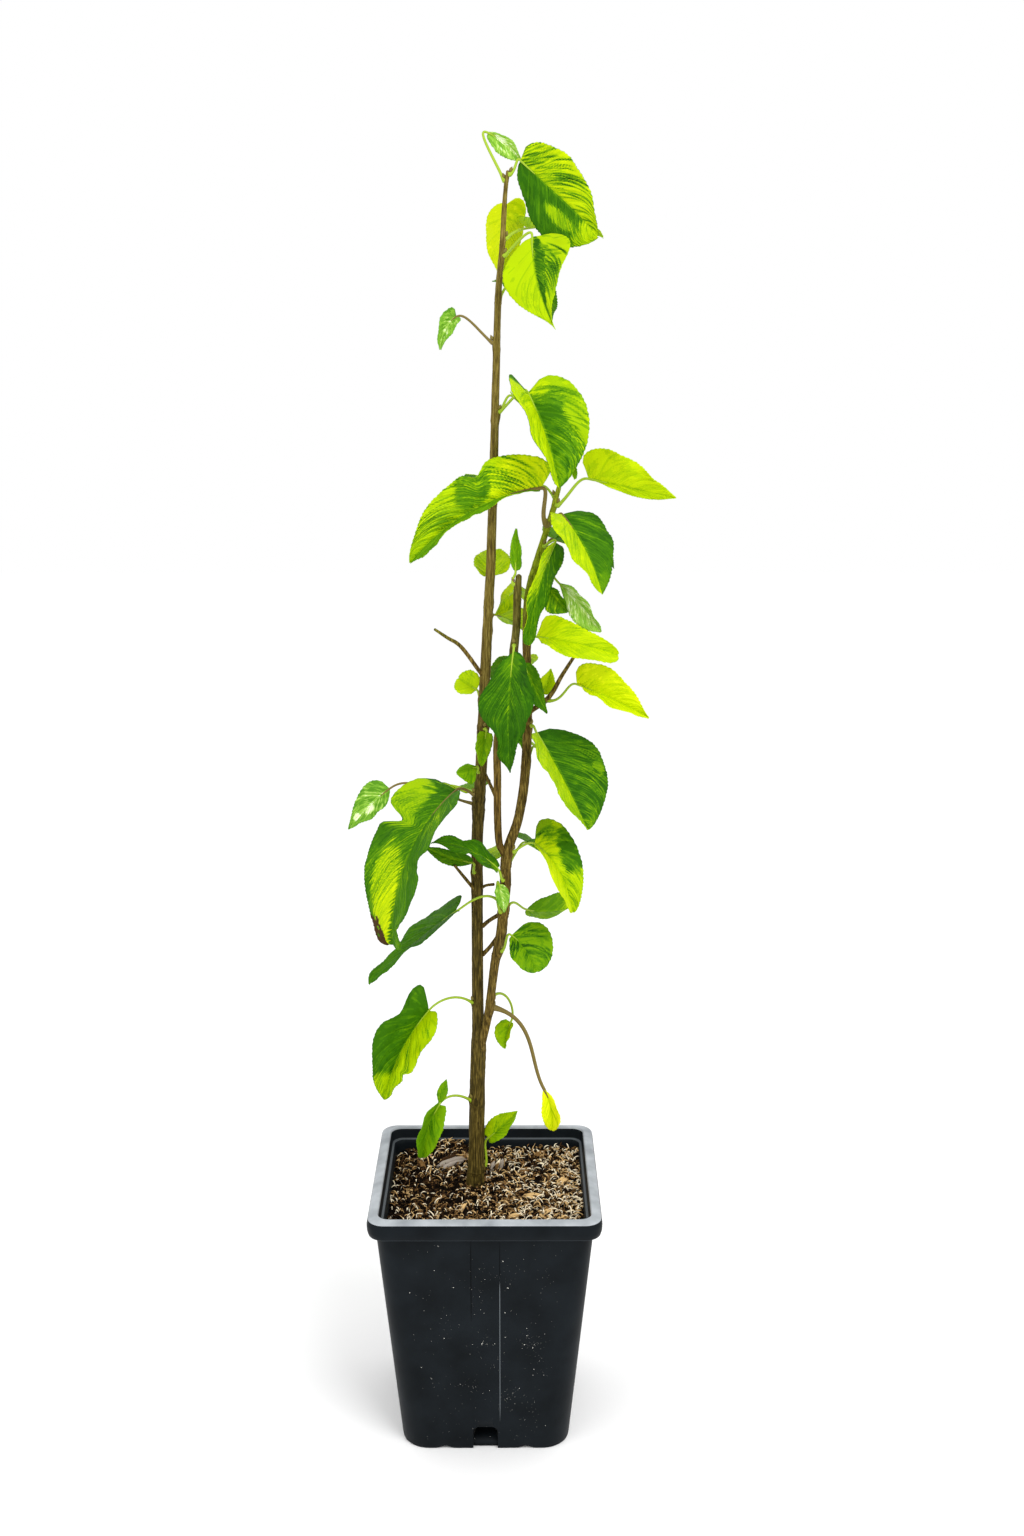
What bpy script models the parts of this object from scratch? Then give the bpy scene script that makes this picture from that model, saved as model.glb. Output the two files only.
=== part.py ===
"""Potted white mulberry: a young tree with two stems in a square nursery pot.

The origin is the centre of the pot's underside, +Z is up, and the side at -Y is the front.
"""
from math import cos, pi, radians, sin

import bmesh
import bpy
import numpy as np

MM = 0.001
GAP = 0.3 * MM

# The pot: a square container with rounded corners, moulded in one piece.
POT_HEIGHT = 207 * MM
RIM_HALF = 90 * MM
RIM_CORNER = 13 * MM
RIM_SKIRT = 15 * MM
NECK_HALF = 85 * MM
NECK_CORNER = 13 * MM
FOOT_HALF = 66.5 * MM
FOOT_CORNER = 22 * MM
POT_WALL = 2.0 * MM
POT_FLOOR = 2.5 * MM
LEDGE_DROP = 10 * MM
LEDGE_STEP = 2 * MM
SLOT_WIDTH = 17.5 * MM
SLOT_HEIGHT = 20 * MM
CORNER_STEPS = 4

# The soil: its level at the stems, how it rises to the right, its lower edge at the walls, and the heap
# behind.
GROUND = 183 * MM
SOIL_LEVEL_RADIUS = 26 * MM
SOIL_TILT = 4 * MM
SOIL_EDGE_DROP = 6 * MM
HEAP_HEIGHT = 11 * MM
HEAP_PLACE = (-34 * MM, 68 * MM)
HEAP_SPREAD = 25 * MM

# Limbs: marks up each one, in millimetres: height above the soil, x, y, radius.
LIMBS = {
    "trunk": [
        (0, -9, 14, 8.4), (8, -9, 14, 7.4), (30, -8, 13, 6.5), (120, -6, 11, 5.9), (150, -6, 11, 4.6),
        (290, -6, 9, 4.5), (345, -3, 8, 4.4), (410, 0, 7, 4.1), (470, 3, 6, 3.7), (530, 6, 5, 3.4),
        (631, 9, 3, 2.8), (701, 11, 1, 2.4), (735, 14, 0, 2.0), (769, 16, -1, 1.6), (788, 18, -2, 1.1)],
    "second_stem": [
        (125, -4, 9, 3.2), (154, 2, 4, 3.3), (177, 5, 2, 3.4), (201, 8, 0, 3.6), (220, 12, -2, 4.1),
        (240, 14, -4, 4.0), (267, 16, -6, 4.0), (290, 17, -7, 3.8), (318, 26, -4, 3.5), (350, 31, -1, 3.5),
        (400, 33, 3, 3.4), (455, 32, 6, 3.1), (490, 34, 7, 2.9), (520, 42, 9, 2.4), (545, 50, 11, 2.1),
        (567, 56, 12, 1.7)],
    "left_bough": [
        (292, 14, -7, 2.7), (300, 11, -8, 2.8), (322, 10, -9, 2.9), (349, 10, -10, 2.9), (380, 10, -11, 2.9),
        (405, 15, -12, 3.0), (434, 20, -13, 3.0), (463, 24, -14, 3.0), (486, 25, -15, 2.9),
        (504, 26, -16, 2.2)],
    "bare_twig": [
        (428, -2, 5, 1.6), (450, -17, -5, 1.5), (458, -27, -12, 1.3), (465, -36, -18, 1.0)],
    "right_twig": [
        (398, 33, 2, 1.9), (413, 49, -10, 1.7), (430, 58, -17, 1.5), (446, 67, -25, 1.2)],
    "fork_twig": [
        (254, -6, 9, 1.4), (268, -15, 1, 1.3), (281, -23, -8, 1.0)],
}
# Each limb that grows from another: the limb that it is cut clear of.
PARENTS = {
    "second_stem": "trunk", "left_bough": "second_stem", "bare_twig": "trunk",
    "right_twig": "second_stem", "fork_twig": "trunk"}
LIMB_SIDES = {"trunk": 12, "second_stem": 12, "left_bough": 10}
TWIG_SIDES = 6
LIMB_STEP = 14

# Leaves, in millimetres and degrees. A leaf's stalk leaves its limb at a height, on a bearing (0 is +X,
# 90 is +Y), and its joint with the blade lies out along the bearing and up. The blade points along its
# heading, starts at its dip, bends by its sag, is rolled about its midrib and folded up along it. Each
# half has its own width, left and right of the heading, and its belly: where along it is widest.
LEAF_KEYS = ("name limb height bearing reach rise heading length dip sag roll fold "
             "left left_belly right right_belly").split()
LEAVES = [
    ("tip_young", "trunk", 782, 136, 19, 34, 340, 32, -24, -29, 99, 27, 5.5, .6, 8, .53),
    ("top", "trunk", 786, 12, 9, 10, 338, 70, -42, -36, 99, 8, 26, .44, 28, .64),
    ("top_back", "trunk", 761, 88, 20, 7, 98, 58, -70, 11, 11, 47, 21, .44, 21, .28),
    ("top_front", "trunk", 731, 323, 27, 12, 267, 68, -79, 2, 30, 8, 33, .22, 24, .37),
    ("left_small", "trunk", 671, 191, 29, 18, 226, 31, -22, -64, -50, 46, 9, .42, 9, .31),
    ("upper_right", "trunk", 622, 335, 26, 14, 315, 75, -53, -23, 15, 37, 34, .38, 32, .26),
    ("long_left", "second_stem", 540, 234, 9, 27, 212, 125, -3, -42, -50, 39, 8, .6, 28, .36),
    ("right_out", "second_stem", 554, 335, 27, 20, 324, 76, -9, 0, 90, 8, 24, .27, 5, .6),
    ("right_hang", "second_stem", 543, 323, 11, 5, 313, 70, -37, -38, 3, 15, 25, .34, 25, .33),
    ("mid_back", "trunk", 483, 73, 11, 18, 93, 42, 27, -9, -4, 15, 14, .4, 14, .4),
    ("bough_tip", "left_bough", 498, 180, 2, 9, 86, 32, 88, -11, -6, 26, 4.2, .42, 5.4, .31),
    ("mid_fold", "second_stem", 524, 312, 15, 4, 227, 80, -56, -10, -99, 10, 13, .22, 15, .52),
    ("mid_small", "second_stem", 490, 354, 12, 5, 333, 27, -39, -12, 99, 39, 11, .52, 12, .6),
    ("mid_right", "second_stem", 505, 348, 19, -8, 339, 49, -41, -11, 99, 34, 11, .44, 11, .6),
    ("right_bright", "second_stem", 454, 296, 15, 4, 314, 57, 2, -49, 37, 25, 18, .2, 20, .58),
    ("right_low", "right_twig", 410, 336, 25, 14, 334, 62, -16, -7, 46, 47, 21, .32, 19, .6),
    ("between", "left_bough", 491, 116, 8, 0, 120, 33, -23, -29, 72, 36, 9, .3, 9, .4),
    ("left_round", "trunk", 408, 125, 10, 6, 135, 22, 20, -4, -52, 24, 11, .45, 11, .45),
    ("behind_right", "left_bough", 437, 35, 11, 2, 325, 43, -64, 10, 40, 8, 7, .3, 11, .42),
    ("front_long", "left_bough", 453, 267, 10, -3, 255, 93, -61, -43, 24, 9, 24, .41, 25, .5),
    ("back_yellow", "second_stem", 408, 38, 14, 3, 72, 30, 11, 46, 12, 27, 8, .3, 8, .3),
    ("trunk_front", "trunk", 386, 288, 9, -1, 238, 27, -70, -10, -43, 25, 6, .3, 7.5, .32),
    ("trunk_left", "trunk", 352, 247, 7, 5, 225, 22, -5, 1, -76, 22, 11, .58, 5, .6),
    ("right_big", "second_stem", 389, 318, 9, -4, 320, 85, -48, -12, 1, 25, 37, .43, 36, .41),
    ("right_curl", "second_stem", 292, 351, 21, 7, 314, 64, -16, -74, 3, 33, 24, .23, 24, .56),
    ("right_hid", "second_stem", 246, 47, 26, -7, 28, 44, -20, 30, -56, 15, 14, .5, 17, .55),
    ("low_round", "second_stem", 211, 309, 16, 16, 332, 36, -27, -38, 20, 21, 24, .37, 23, .56),
    ("left_big", "trunk", 334, 204, 19, 5, 221, 137, -26, -71, 6, 17, 43, .49, 43, .24),
    ("far_left", "trunk", 326, 168, 71, 9, 193, 46, -35, -16, -43, 22, 14, .4, 14, .27),
    ("across", "second_stem", 270, 244, 13, 11, 181, 58, 49, -39, -15, 8, 19, .42, 13, .45),
    ("across_low", "trunk", 272, 245, 7, 8, 209, 45, 17, 3, -99, 16, 6, .5, 7, .36),
    ("left_edge", "second_stem", 253, 193, 38, -7, 188, 85, -33, -8, 5, 8, 30, .37, 30, .2),
    ("young_front", "second_stem", 244, 244, 8, 24, 305, 23, -65, -12, 14, 24, 6, .4, 6, .41),
    ("low_left", "trunk", 164, 211, 44, 1, 194, 81, -47, -31, -69, 47, 23, .4, 35, .26),
    ("foot_left", "trunk", 81, 221, 39, 6, 218, 45, -47, -41, -71, 47, 12, .47, 15, .51),
    ("foot_shoot", "trunk", 22, 352, 10, 24, 345, 36, 42, 10, 60, 20, 10, .4, 9, .4),
    ("low_yellow", "second_stem", 161, 13, 45, -73, 325, 36, -53, -49, 67, 43, 10, .6, 9, .57),
    ("low_small", "second_stem", 171, 48, 24, -28, 219, 23, -56, -35, -24, 38, 6, .35, 10, .4),
]
# What only some leaves have: lift is the stalk's slope where it leaves the limb, heart how far the base
# lobes reach back, blunt and tip how pointed the two ends are, sweep how far the midrib turns to its left,
# a bay in a half's edge is its place, depth and spread, and a leaflet is a second small blade at the
# stalk's end: heading, length, dip and half its width.
LEAF_EXTRAS = {
    "tip_young": {"lift": 60, "heart": .16, "blunt": .64},
    "top": {"heart": .13, "blunt": .5, "tip": .72, "sweep": 44},
    "top_back": {"blunt": 1}, "top_front": {"heart": 0, "blunt": 1.2, "tip": 1.54, "sweep": 33},
    "left_small": {"heart": .14, "blunt": 1}, "upper_right": {"heart": .29, "blunt": .78},
    "long_left": {"heart": .24, "blunt": .64, "right_bays": ((.43, .26, .05),)},
    "right_out": {"blunt": 1}, "right_hang": {"heart": .03, "blunt": .51, "tip": .88, "sweep": 7},
    "mid_back": {"blunt": .6}, "bough_tip": {"lift": 70, "heart": 0, "blunt": .83},
    "mid_fold": {"heart": .07, "blunt": .58, "tip": .45, "sweep": 16}, "mid_right": {"heart": 0, "blunt": .82},
    "mid_small": {"heart": .15, "blunt": .81},
    "right_bright": {"heart": 0, "blunt": 1.2, "tip": .43, "sweep": 57},
    "right_low": {"heart": .23, "blunt": 1, "lift": 0},
    "left_round": {"blunt": .6}, "behind_right": {"heart": 0, "blunt": 1},
    "front_long": {"heart": .03, "blunt": 1, "right_bays": ((.74, .6, .12),), "left_bays": ((.76, .4, .12),)},
    "trunk_front": {"heart": .05, "blunt": .64}, "trunk_left": {"heart": 0, "blunt": .84},
    "right_big": {"heart": 0, "blunt": .67},
    "right_curl": {"heart": .45, "blunt": 1.2, "tip": .65, "sweep": 9},
    "low_round": {"heart": 0, "blunt": .66, "tip": .5, "sweep": -9},
    "left_big": {
        "heart": .05, "blunt": .68, "tip": .35, "sweep": -3,
        "right_bays": ((.31, .5, .035),), "left_bays": ((.5, .4, .06), (.86, .35, .05))},
    "far_left": {"lift": 10, "heart": 0, "blunt": 1},
    "across": {"heart": .19, "blunt": .89, "tip": 1.04, "sweep": 26, "right_bays": ((.55, .4, .1),),
               "left_bays": ((.45, .6, .12),)},
    "across_low": {"heart": 0, "blunt": .81, "sweep": -12},
    "left_edge": {"heart": .22, "blunt": .86, "tip": .62, "sweep": 21},
    "low_left": {"heart": .35, "blunt": .71, "tip": .83, "right_bays": ((.22, .3, .09),),
                 "left_bays": ((.66, .3, .04),)},
    "young_front": {"heart": 0, "blunt": .82},
    "foot_left": {"heart": .25, "blunt": .55, "leaflet": (20, 21, 78, 4)}, "foot_shoot": {"lift": 80},
    "low_yellow": {"lift": -20, "heart": .17, "blunt": .69}, "low_small": {"lift": 10}}
LIFT = 40
HEART = 0.22
BLUNT = 0.9

# The leaves on the far side: the limb, height and bearing of each one's stalk, how far its blade turns
# from the bearing, and its dip. The seed deals out their lengths, widths and rolls.
BACK_SEED = 7
BACK_LEAVES = [
    ("trunk", 743, 36, 0, 9), ("trunk", 703, 64, -2, -6), ("trunk", 620, 52, -40, -40),
    ("trunk", 560, 100, 0, -14), ("trunk", 462, 75, -15, -12), ("trunk", 392, 60, 0, -40),
    ("trunk", 320, 100, 10, 0), ("trunk", 262, 80, 10, 0),
    ("second_stem", 560, 128, 15, -12), ("second_stem", 516, 50, -5, -14), ("second_stem", 478, 72, 15, -14),
    ("second_stem", 424, 100, 10, -28), ("second_stem", 362, 65, -15, -26), ("second_stem", 284, 44, 0, -30)]
BACK_LENGTHS = (56, 78)
BACK_STALK = 20

STALK_RADIUS = (1.1, 0.8)
STALK_STEPS = 6
STALK_SINK = 0.22
BLADE_STEPS = 8
BLADE_HALF_STEPS = 2
LEAST_THICKNESS = 0.9
THICKNESS_SHARE = 0.014

COLLECTION = "potted_mulberry"


def material(name, colour, roughness):
    """A Principled BSDF of one colour."""
    new = bpy.data.materials.new(name)
    new.use_nodes = True
    shader = new.node_tree.nodes["Principled BSDF"]
    shader.inputs["Base Color"].default_value = (*colour, 1)
    shader.inputs["Roughness"].default_value = roughness
    return new


def add_object(name, mesh, finish):
    """Link a finished mesh in the tree's collection."""
    thing = bpy.data.objects.new(name, mesh)
    mesh.materials.clear()
    mesh.materials.append(finish)
    bpy.data.collections[COLLECTION].objects.link(thing)
    return thing


def mesh_from(name, points, faces):
    """A mesh of the points and faces given."""
    mesh = bpy.data.meshes.new(name)
    mesh.from_pydata([tuple(p) for p in points], [], faces)
    mesh.update()
    return mesh


def evaluated_mesh(thing):
    """The mesh of an object with its modifiers applied; the object is removed."""
    bpy.context.view_layer.update()
    graph = bpy.context.evaluated_depsgraph_get()
    mesh = bpy.data.meshes.new_from_object(thing.evaluated_get(graph))
    bpy.data.objects.remove(thing)
    return mesh


def compass(bearing, slope=0.0):
    """The unit vector on a bearing, sloping up."""
    a, e = radians(bearing), radians(slope)
    return np.array([cos(e) * cos(a), cos(e) * sin(a), sin(e)])


def tube_mesh(name, path, radii, sides):
    """A round tube with closed ends along a path of points."""
    curve = bpy.data.curves.new(name, "CURVE")
    curve.dimensions = "3D"
    curve.bevel_depth = 1.0
    curve.bevel_resolution = sides // 2 - 2
    curve.use_fill_caps = True
    spline = curve.splines.new("POLY")
    spline.points.add(len(path) - 1)
    for point, place, radius in zip(spline.points, path, radii):
        point.co = (*place, 1)
        point.radius = radius
    thing = bpy.data.objects.new(name, curve)
    bpy.context.scene.collection.objects.link(thing)
    mesh = evaluated_mesh(thing)
    work = bmesh.new()
    work.from_mesh(mesh)
    bmesh.ops.remove_doubles(work, verts=work.verts, dist=0.01 * MM)
    bmesh.ops.recalc_face_normals(work, faces=work.faces)
    work.to_mesh(mesh)
    work.free()
    return mesh


def smooth_through(marks, count):
    """A Catmull-Rom curve through the marks, at evenly spread parameters."""
    p = np.array(marks, float)
    slope = np.gradient(p, axis=0)
    t = np.linspace(0, len(p) - 1, count)
    i = np.minimum(t.astype(int), len(p) - 2)
    u = (t - i)[:, None]
    return ((2 * u**3 - 3 * u**2 + 1) * p[i] + (u**3 - 2 * u**2 + u) * slope[i]
            + (3 * u**2 - 2 * u**3) * p[i + 1] + (u**3 - u**2) * slope[i + 1])


def limb_points(name):
    """Centre points and radii up a limb, in metres."""
    marks = LIMBS[name]
    count = max(5, int((marks[-1][0] - marks[0][0]) / LIMB_STEP))
    curve = smooth_through(marks, count) * MM
    path = np.stack([curve[:, 1], curve[:, 2], curve[:, 0] + GROUND], axis=1)
    return path, curve[:, 3]


def on_limb(name, height):
    """The centre, radius and direction of a limb at a height above the soil."""
    path, radii = limb_points(name)
    z = GROUND + height * MM
    way = np.gradient(path, axis=0)
    centre = np.array([np.interp(z, path[:, 2], path[:, k]) for k in range(3)])
    way = np.array([np.interp(z, path[:, 2], way[:, k]) for k in range(3)])
    return centre, np.interp(z, path[:, 2], radii), way / np.linalg.norm(way)


def cut_clear(mesh, parent):
    """Cut a limb's mesh back to a small gap from the limb that it grows from."""
    path, radii = limb_points(parent)
    cutter = bpy.data.objects.new("cutter", tube_mesh("cutter", path, radii + GAP, LIMB_SIDES[parent]))
    bpy.context.scene.collection.objects.link(cutter)
    thing = bpy.data.objects.new("limb", mesh)
    bpy.context.scene.collection.objects.link(thing)
    cut = thing.modifiers.new("clear", "BOOLEAN")
    cut.operation = "DIFFERENCE"
    cut.object = cutter
    mesh = evaluated_mesh(thing)
    bpy.data.objects.remove(cutter)
    return largest_piece(mesh)


def largest_piece(mesh):
    """Keep the largest connected piece of a mesh, and drop loose scraps."""
    work = bmesh.new()
    work.from_mesh(mesh)
    left = set(work.verts)
    pieces = []
    while left:
        front = [left.pop()]
        piece = set(front)
        while front:
            vert = front.pop()
            for edge in vert.link_edges:
                other = edge.other_vert(vert)
                if other in left:
                    left.discard(other)
                    piece.add(other)
                    front.append(other)
        pieces.append(piece)
    keep = max(pieces, key=len)
    bmesh.ops.delete(work, geom=[v for v in work.verts if v not in keep], context="VERTS")
    work.to_mesh(mesh)
    work.free()
    return mesh


def make_limbs(bark):
    """The trunk, cut flat at the soil, and the limbs, each cut clear of the one it grows from."""
    for name in LIMBS:
        path, radii = limb_points(name)
        if name == "trunk":
            path[:, 2] += GAP
        mesh = tube_mesh(name, path, radii, LIMB_SIDES.get(name, TWIG_SIDES))
        if name in PARENTS:
            mesh = cut_clear(mesh, PARENTS[name])
        mesh.shade_smooth()
        add_object(name, mesh, bark)


def leaf_rows():
    """Every leaf as a dictionary: those with a set place, then those of the back's rule."""
    for row in LEAVES:
        leaf = dict(zip(LEAF_KEYS, row))
        leaf.update(LEAF_EXTRAS.get(leaf["name"], {}))
        yield leaf
    dealt = np.random.default_rng(BACK_SEED)
    for number, (limb, height, bearing, turn, dip) in enumerate(BACK_LEAVES):
        length = dealt.uniform(*BACK_LENGTHS)
        half = length * dealt.uniform(0.27, 0.33)
        yield {
            "name": f"back_{number + 1}", "limb": limb, "height": height, "bearing": bearing,
            "reach": BACK_STALK + dealt.uniform(-4, 5), "rise": dealt.uniform(7, 13),
            "heading": bearing + turn, "length": length, "dip": dip, "sag": dealt.uniform(-26, -12),
            "roll": dealt.uniform(-14, 14), "fold": dealt.uniform(14, 26),
            "left": half, "left_belly": .36, "right": half * dealt.uniform(0.88, 1), "right_belly": .36}


def stalk_path(leaf):
    """The leaf stalk: a cubic Bezier curve from the limb's surface to the blade's base."""
    centre, radius, way = on_limb(leaf["limb"], leaf["height"])
    out = compass(leaf["bearing"])
    lift = leaf.get("lift", LIFT)
    lean = abs(out @ way)
    edge = STALK_RADIUS[0] * MM * (abs(sin(radians(lift))) + lean)
    start = centre + ((radius + GAP) / np.sqrt(1 - lean**2) + edge) * out
    end = centre + leaf["reach"] * MM * out + np.array([0, 0, leaf["rise"] * MM])
    span = np.linalg.norm(end - start)
    first = start + 0.45 * span * compass(leaf["bearing"], lift)
    second = end - 0.3 * span * compass(leaf["heading"], leaf["dip"])
    t = np.linspace(0, 1, STALK_STEPS)[:, None]
    return (1 - t)**3 * start + 3 * t * (1 - t)**2 * first + 3 * t * t * (1 - t) * second + t**3 * end


def half_width(u, leaf, side):
    """The outline of one half: a sine arch whose top lies at the belly, with its bays cut in."""
    power = np.log(0.5) / np.log(leaf[side + "_belly"])
    blunt = leaf.get("blunt", BLUNT)
    width = leaf[side] * np.sin(pi * u**power)**(blunt + u * (leaf.get("tip", blunt) - blunt))
    for place, depth, spread in leaf.get(side + "_bays", ()):
        width = width * (1 - depth * np.exp(-((u - place) / spread)**2))
    return width * MM


def midrib(u, base, leaf):
    """Points and directions along the midrib, and the directions to its left and above it.

    It is an arc from the dip to the dip plus the sag, which also turns to its left by the sweep.
    """
    start, bend = radians(leaf["dip"]), radians(leaf["sag"]) + 1e-6
    slope = start + bend * u
    flat, up = compass(leaf["heading"]), np.array([0, 0, 1.0])
    out = (np.sin(slope) - sin(start)) / bend
    rise = (cos(start) - np.cos(slope)) / bend
    along = np.cos(slope)[:, None] * flat + np.sin(slope)[:, None] * up
    level = np.array([-flat[1], flat[0], 0.0]) * np.ones_like(along)
    face = np.cross(along, level)
    roll = radians(leaf["roll"])
    aside = cos(roll) * level + sin(roll) * face
    above = cos(roll) * face - sin(roll) * level
    turn = radians(leaf.get("sweep", 0)) * u[:, None]
    arc = out[:, None] * flat + rise[:, None] * up + turn * u[:, None] / 2 * aside
    return (base + leaf["length"] * MM * arc, np.cos(turn) * along + np.sin(turn) * aside,
            np.cos(turn) * aside - np.sin(turn) * along, above)


def leaflet_row(leaf):
    """A leaf's leaflet as a row of its own, from the leaf's end of the stalk."""
    heading, length, dip, half = leaf["leaflet"]
    return {"heading": heading, "length": length, "dip": dip, "sag": -8, "roll": 70, "fold": 14,
            "left": half, "left_belly": .5, "right": half, "right_belly": .5, "heart": 0}


def blade_mesh(leaf, base):
    """The blade: a folded sheet on the midrib, closed at both ends and given its thickness."""
    u = np.linspace(0, 1, BLADE_STEPS)**0.9
    points, along, aside, above = midrib(u, base, leaf)
    fold = radians(leaf["fold"])
    reach = leaf.get("heart", HEART) * leaf["length"] * MM
    columns = []
    for step in range(-BLADE_HALF_STEPS, BLADE_HALF_STEPS + 1):
        side = "left" if step > 0 else "right"
        share = abs(step) / BLADE_HALF_STEPS
        width = half_width(np.clip(u, 0.001, 0.999), leaf, side) * share
        way = np.sign(step) * cos(fold) * aside + sin(fold) * above
        back = reach * width / (max(leaf["left"], leaf["right"]) * MM) * (1 - u)**4
        columns.append(points + width[:, None] * way - back[:, None] * along)
    grid = np.stack(columns, axis=1)[1:-1]
    rows, across = grid.shape[:2]
    verts = np.concatenate([grid.reshape(-1, 3), points[:1], points[-1:]])
    first, last = rows * across, rows * across + 1
    faces = []
    for j in range(across - 1):
        faces.append((first, j + 1, j))
        for i in range(rows - 1):
            a = i * across + j
            faces.append((a, a + 1, a + across + 1, a + across))
        end = (rows - 1) * across + j
        faces.append((end, end + 1, last))
    thing = bpy.data.objects.new("blade", mesh_from("blade", verts, faces))
    bpy.context.scene.collection.objects.link(thing)
    shell = thing.modifiers.new("thickness", "SOLIDIFY")
    shell.thickness = max(LEAST_THICKNESS, THICKNESS_SHARE * leaf["length"]) * MM
    shell.offset = 0
    return evaluated_mesh(thing)


def make_leaf(leaf, finish):
    """One leaf: its stalk, sunk along the midrib, and its blade, joined into one solid."""
    stalk = stalk_path(leaf)
    sink = midrib(np.linspace(0, STALK_SINK, 3)[1:], stalk[-1], leaf)[0]
    path = np.concatenate([stalk, sink])
    radii = np.linspace(*STALK_RADIUS, len(path)) * MM
    thing = bpy.data.objects.new("stalk", tube_mesh("stalk", path, radii, TWIG_SIDES))
    bpy.context.scene.collection.objects.link(thing)
    others = bpy.data.collections.new("blades")
    bpy.context.scene.collection.children.link(others)
    others.objects.link(bpy.data.objects.new("blade", blade_mesh(leaf, stalk[-1])))
    if "leaflet" in leaf:
        others.objects.link(bpy.data.objects.new("leaflet", blade_mesh(leaflet_row(leaf), stalk[-1])))
    join = thing.modifiers.new("join", "BOOLEAN")
    join.operation = "UNION"
    join.solver = "MANIFOLD"
    join.operand_type = "COLLECTION"
    join.collection = others
    mesh = largest_piece(evaluated_mesh(thing))
    for blade in list(others.objects):
        bpy.data.objects.remove(blade)
    bpy.data.collections.remove(others)
    add_object(f"leaf_{leaf['name']}", mesh, finish)


def square_ring(half, corner, z):
    """The points of a square with rounded corners at a height, counter-clockwise."""
    turns = np.arange(4)[:, None] * pi / 2 + np.linspace(0, pi / 2, CORNER_STEPS + 1)
    middle = np.arange(4) * pi / 2 + pi / 4
    x = (half - corner) * np.sign(np.cos(middle))[:, None] + corner * np.cos(turns)
    y = (half - corner) * np.sign(np.sin(middle))[:, None] + corner * np.sin(turns)
    return np.stack([x.ravel(), y.ravel(), np.full(x.size, z)], axis=1)


def loft(name, rings):
    """Rings of equal counts joined in order, with the first and last closed by a flat face."""
    count = len(rings[0])
    faces = [tuple(reversed(range(count)))]
    for level in range(len(rings) - 1):
        low = level * count
        for k in range(count):
            after = (k + 1) % count
            faces.append((low + k, low + after, low + count + after, low + count + k))
    top = (len(rings) - 1) * count
    faces.append(tuple(range(top, top + count)))
    return mesh_from(name, np.concatenate(rings), faces)


def make_pot(plastic):
    """The pot: up its outside, under and round the rim's skirt, over the lip and down the inside."""
    lip = POT_HEIGHT - POT_WALL
    inner = POT_WALL + LEDGE_STEP
    profile = [
        (FOOT_HALF, FOOT_CORNER, 0), (NECK_HALF, NECK_CORNER, lip),
        (RIM_HALF - POT_WALL, RIM_CORNER - POT_WALL, lip),
        (RIM_HALF - POT_WALL, RIM_CORNER - POT_WALL, POT_HEIGHT - RIM_SKIRT),
        (RIM_HALF, RIM_CORNER, POT_HEIGHT - RIM_SKIRT), (RIM_HALF, RIM_CORNER, POT_HEIGHT),
        (NECK_HALF - POT_WALL, NECK_CORNER - POT_WALL, POT_HEIGHT),
        (NECK_HALF - POT_WALL, NECK_CORNER - POT_WALL, POT_HEIGHT - LEDGE_DROP),
        (NECK_HALF - inner, NECK_CORNER - inner, POT_HEIGHT - LEDGE_DROP),
        (FOOT_HALF - POT_WALL, FOOT_CORNER - POT_WALL, POT_FLOOR)]
    mesh = loft("pot", [square_ring(*station) for station in profile])
    thing = add_object("pot", mesh, plastic)
    for number, (x, y) in enumerate(((1, 0), (0, 1), (-1, 0), (0, -1))):
        bpy.ops.mesh.primitive_cube_add(size=1)
        slot = bpy.context.object
        slot.name = f"slot_cutter_{number}"
        depth = 4 * POT_WALL
        slot.scale = (
            depth if x else SLOT_WIDTH, depth if y else SLOT_WIDTH, 2 * SLOT_HEIGHT)
        slot.location = (x * FOOT_HALF, y * FOOT_HALF, 0)
        slot.hide_render = True
        slot.display_type = "WIRE"
        cut = thing.modifiers.new("drain slot", "BOOLEAN")
        cut.operation = "DIFFERENCE"
        cut.object = slot


def soil_height(x, y):
    """The soil's level: flat round the stems, higher to the right, heaped at the back."""
    foot = LIMBS["trunk"][0]
    away = np.hypot(x - foot[1] * MM, y - foot[2] * MM)
    blend = np.clip((away - SOIL_LEVEL_RADIUS) / SOIL_LEVEL_RADIUS, 0, 1)
    blend = blend * blend * (3 - 2 * blend)
    heap = HEAP_HEIGHT * np.exp(-((x - HEAP_PLACE[0])**2 + (y - HEAP_PLACE[1])**2) / HEAP_SPREAD**2)
    return GROUND + blend * (heap + SOIL_TILT * x / NECK_HALF)


def make_soil(earth):
    """The soil: it fills the pot to a small gap from the wall, and its top follows the level."""
    low = POT_FLOOR + GAP
    inner = POT_WALL + LEDGE_STEP
    wall_top = POT_HEIGHT - LEDGE_DROP

    def wall(z):
        share = (z - POT_FLOOR) / (wall_top - POT_FLOOR)
        half = FOOT_HALF - POT_WALL + share * (NECK_HALF - inner - FOOT_HALF + POT_WALL)
        corner = FOOT_CORNER - POT_WALL + share * (NECK_CORNER - inner - FOOT_CORNER + POT_WALL)
        return half - 1.5 * GAP, corner

    edge = GROUND - SOIL_EDGE_DROP
    rings = [square_ring(*wall(low), low), square_ring(*wall(edge), edge)]
    for share in (0.98, 0.86, 0.72, 0.56, 0.4, 0.25, 0.1):
        half, corner = wall(edge)
        ring = square_ring(half * share, corner * share, edge)
        ring[:, 2] = soil_height(ring[:, 0], ring[:, 1])
        rings.append(ring)
    add_object("soil", loft("soil", rings), earth)


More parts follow.
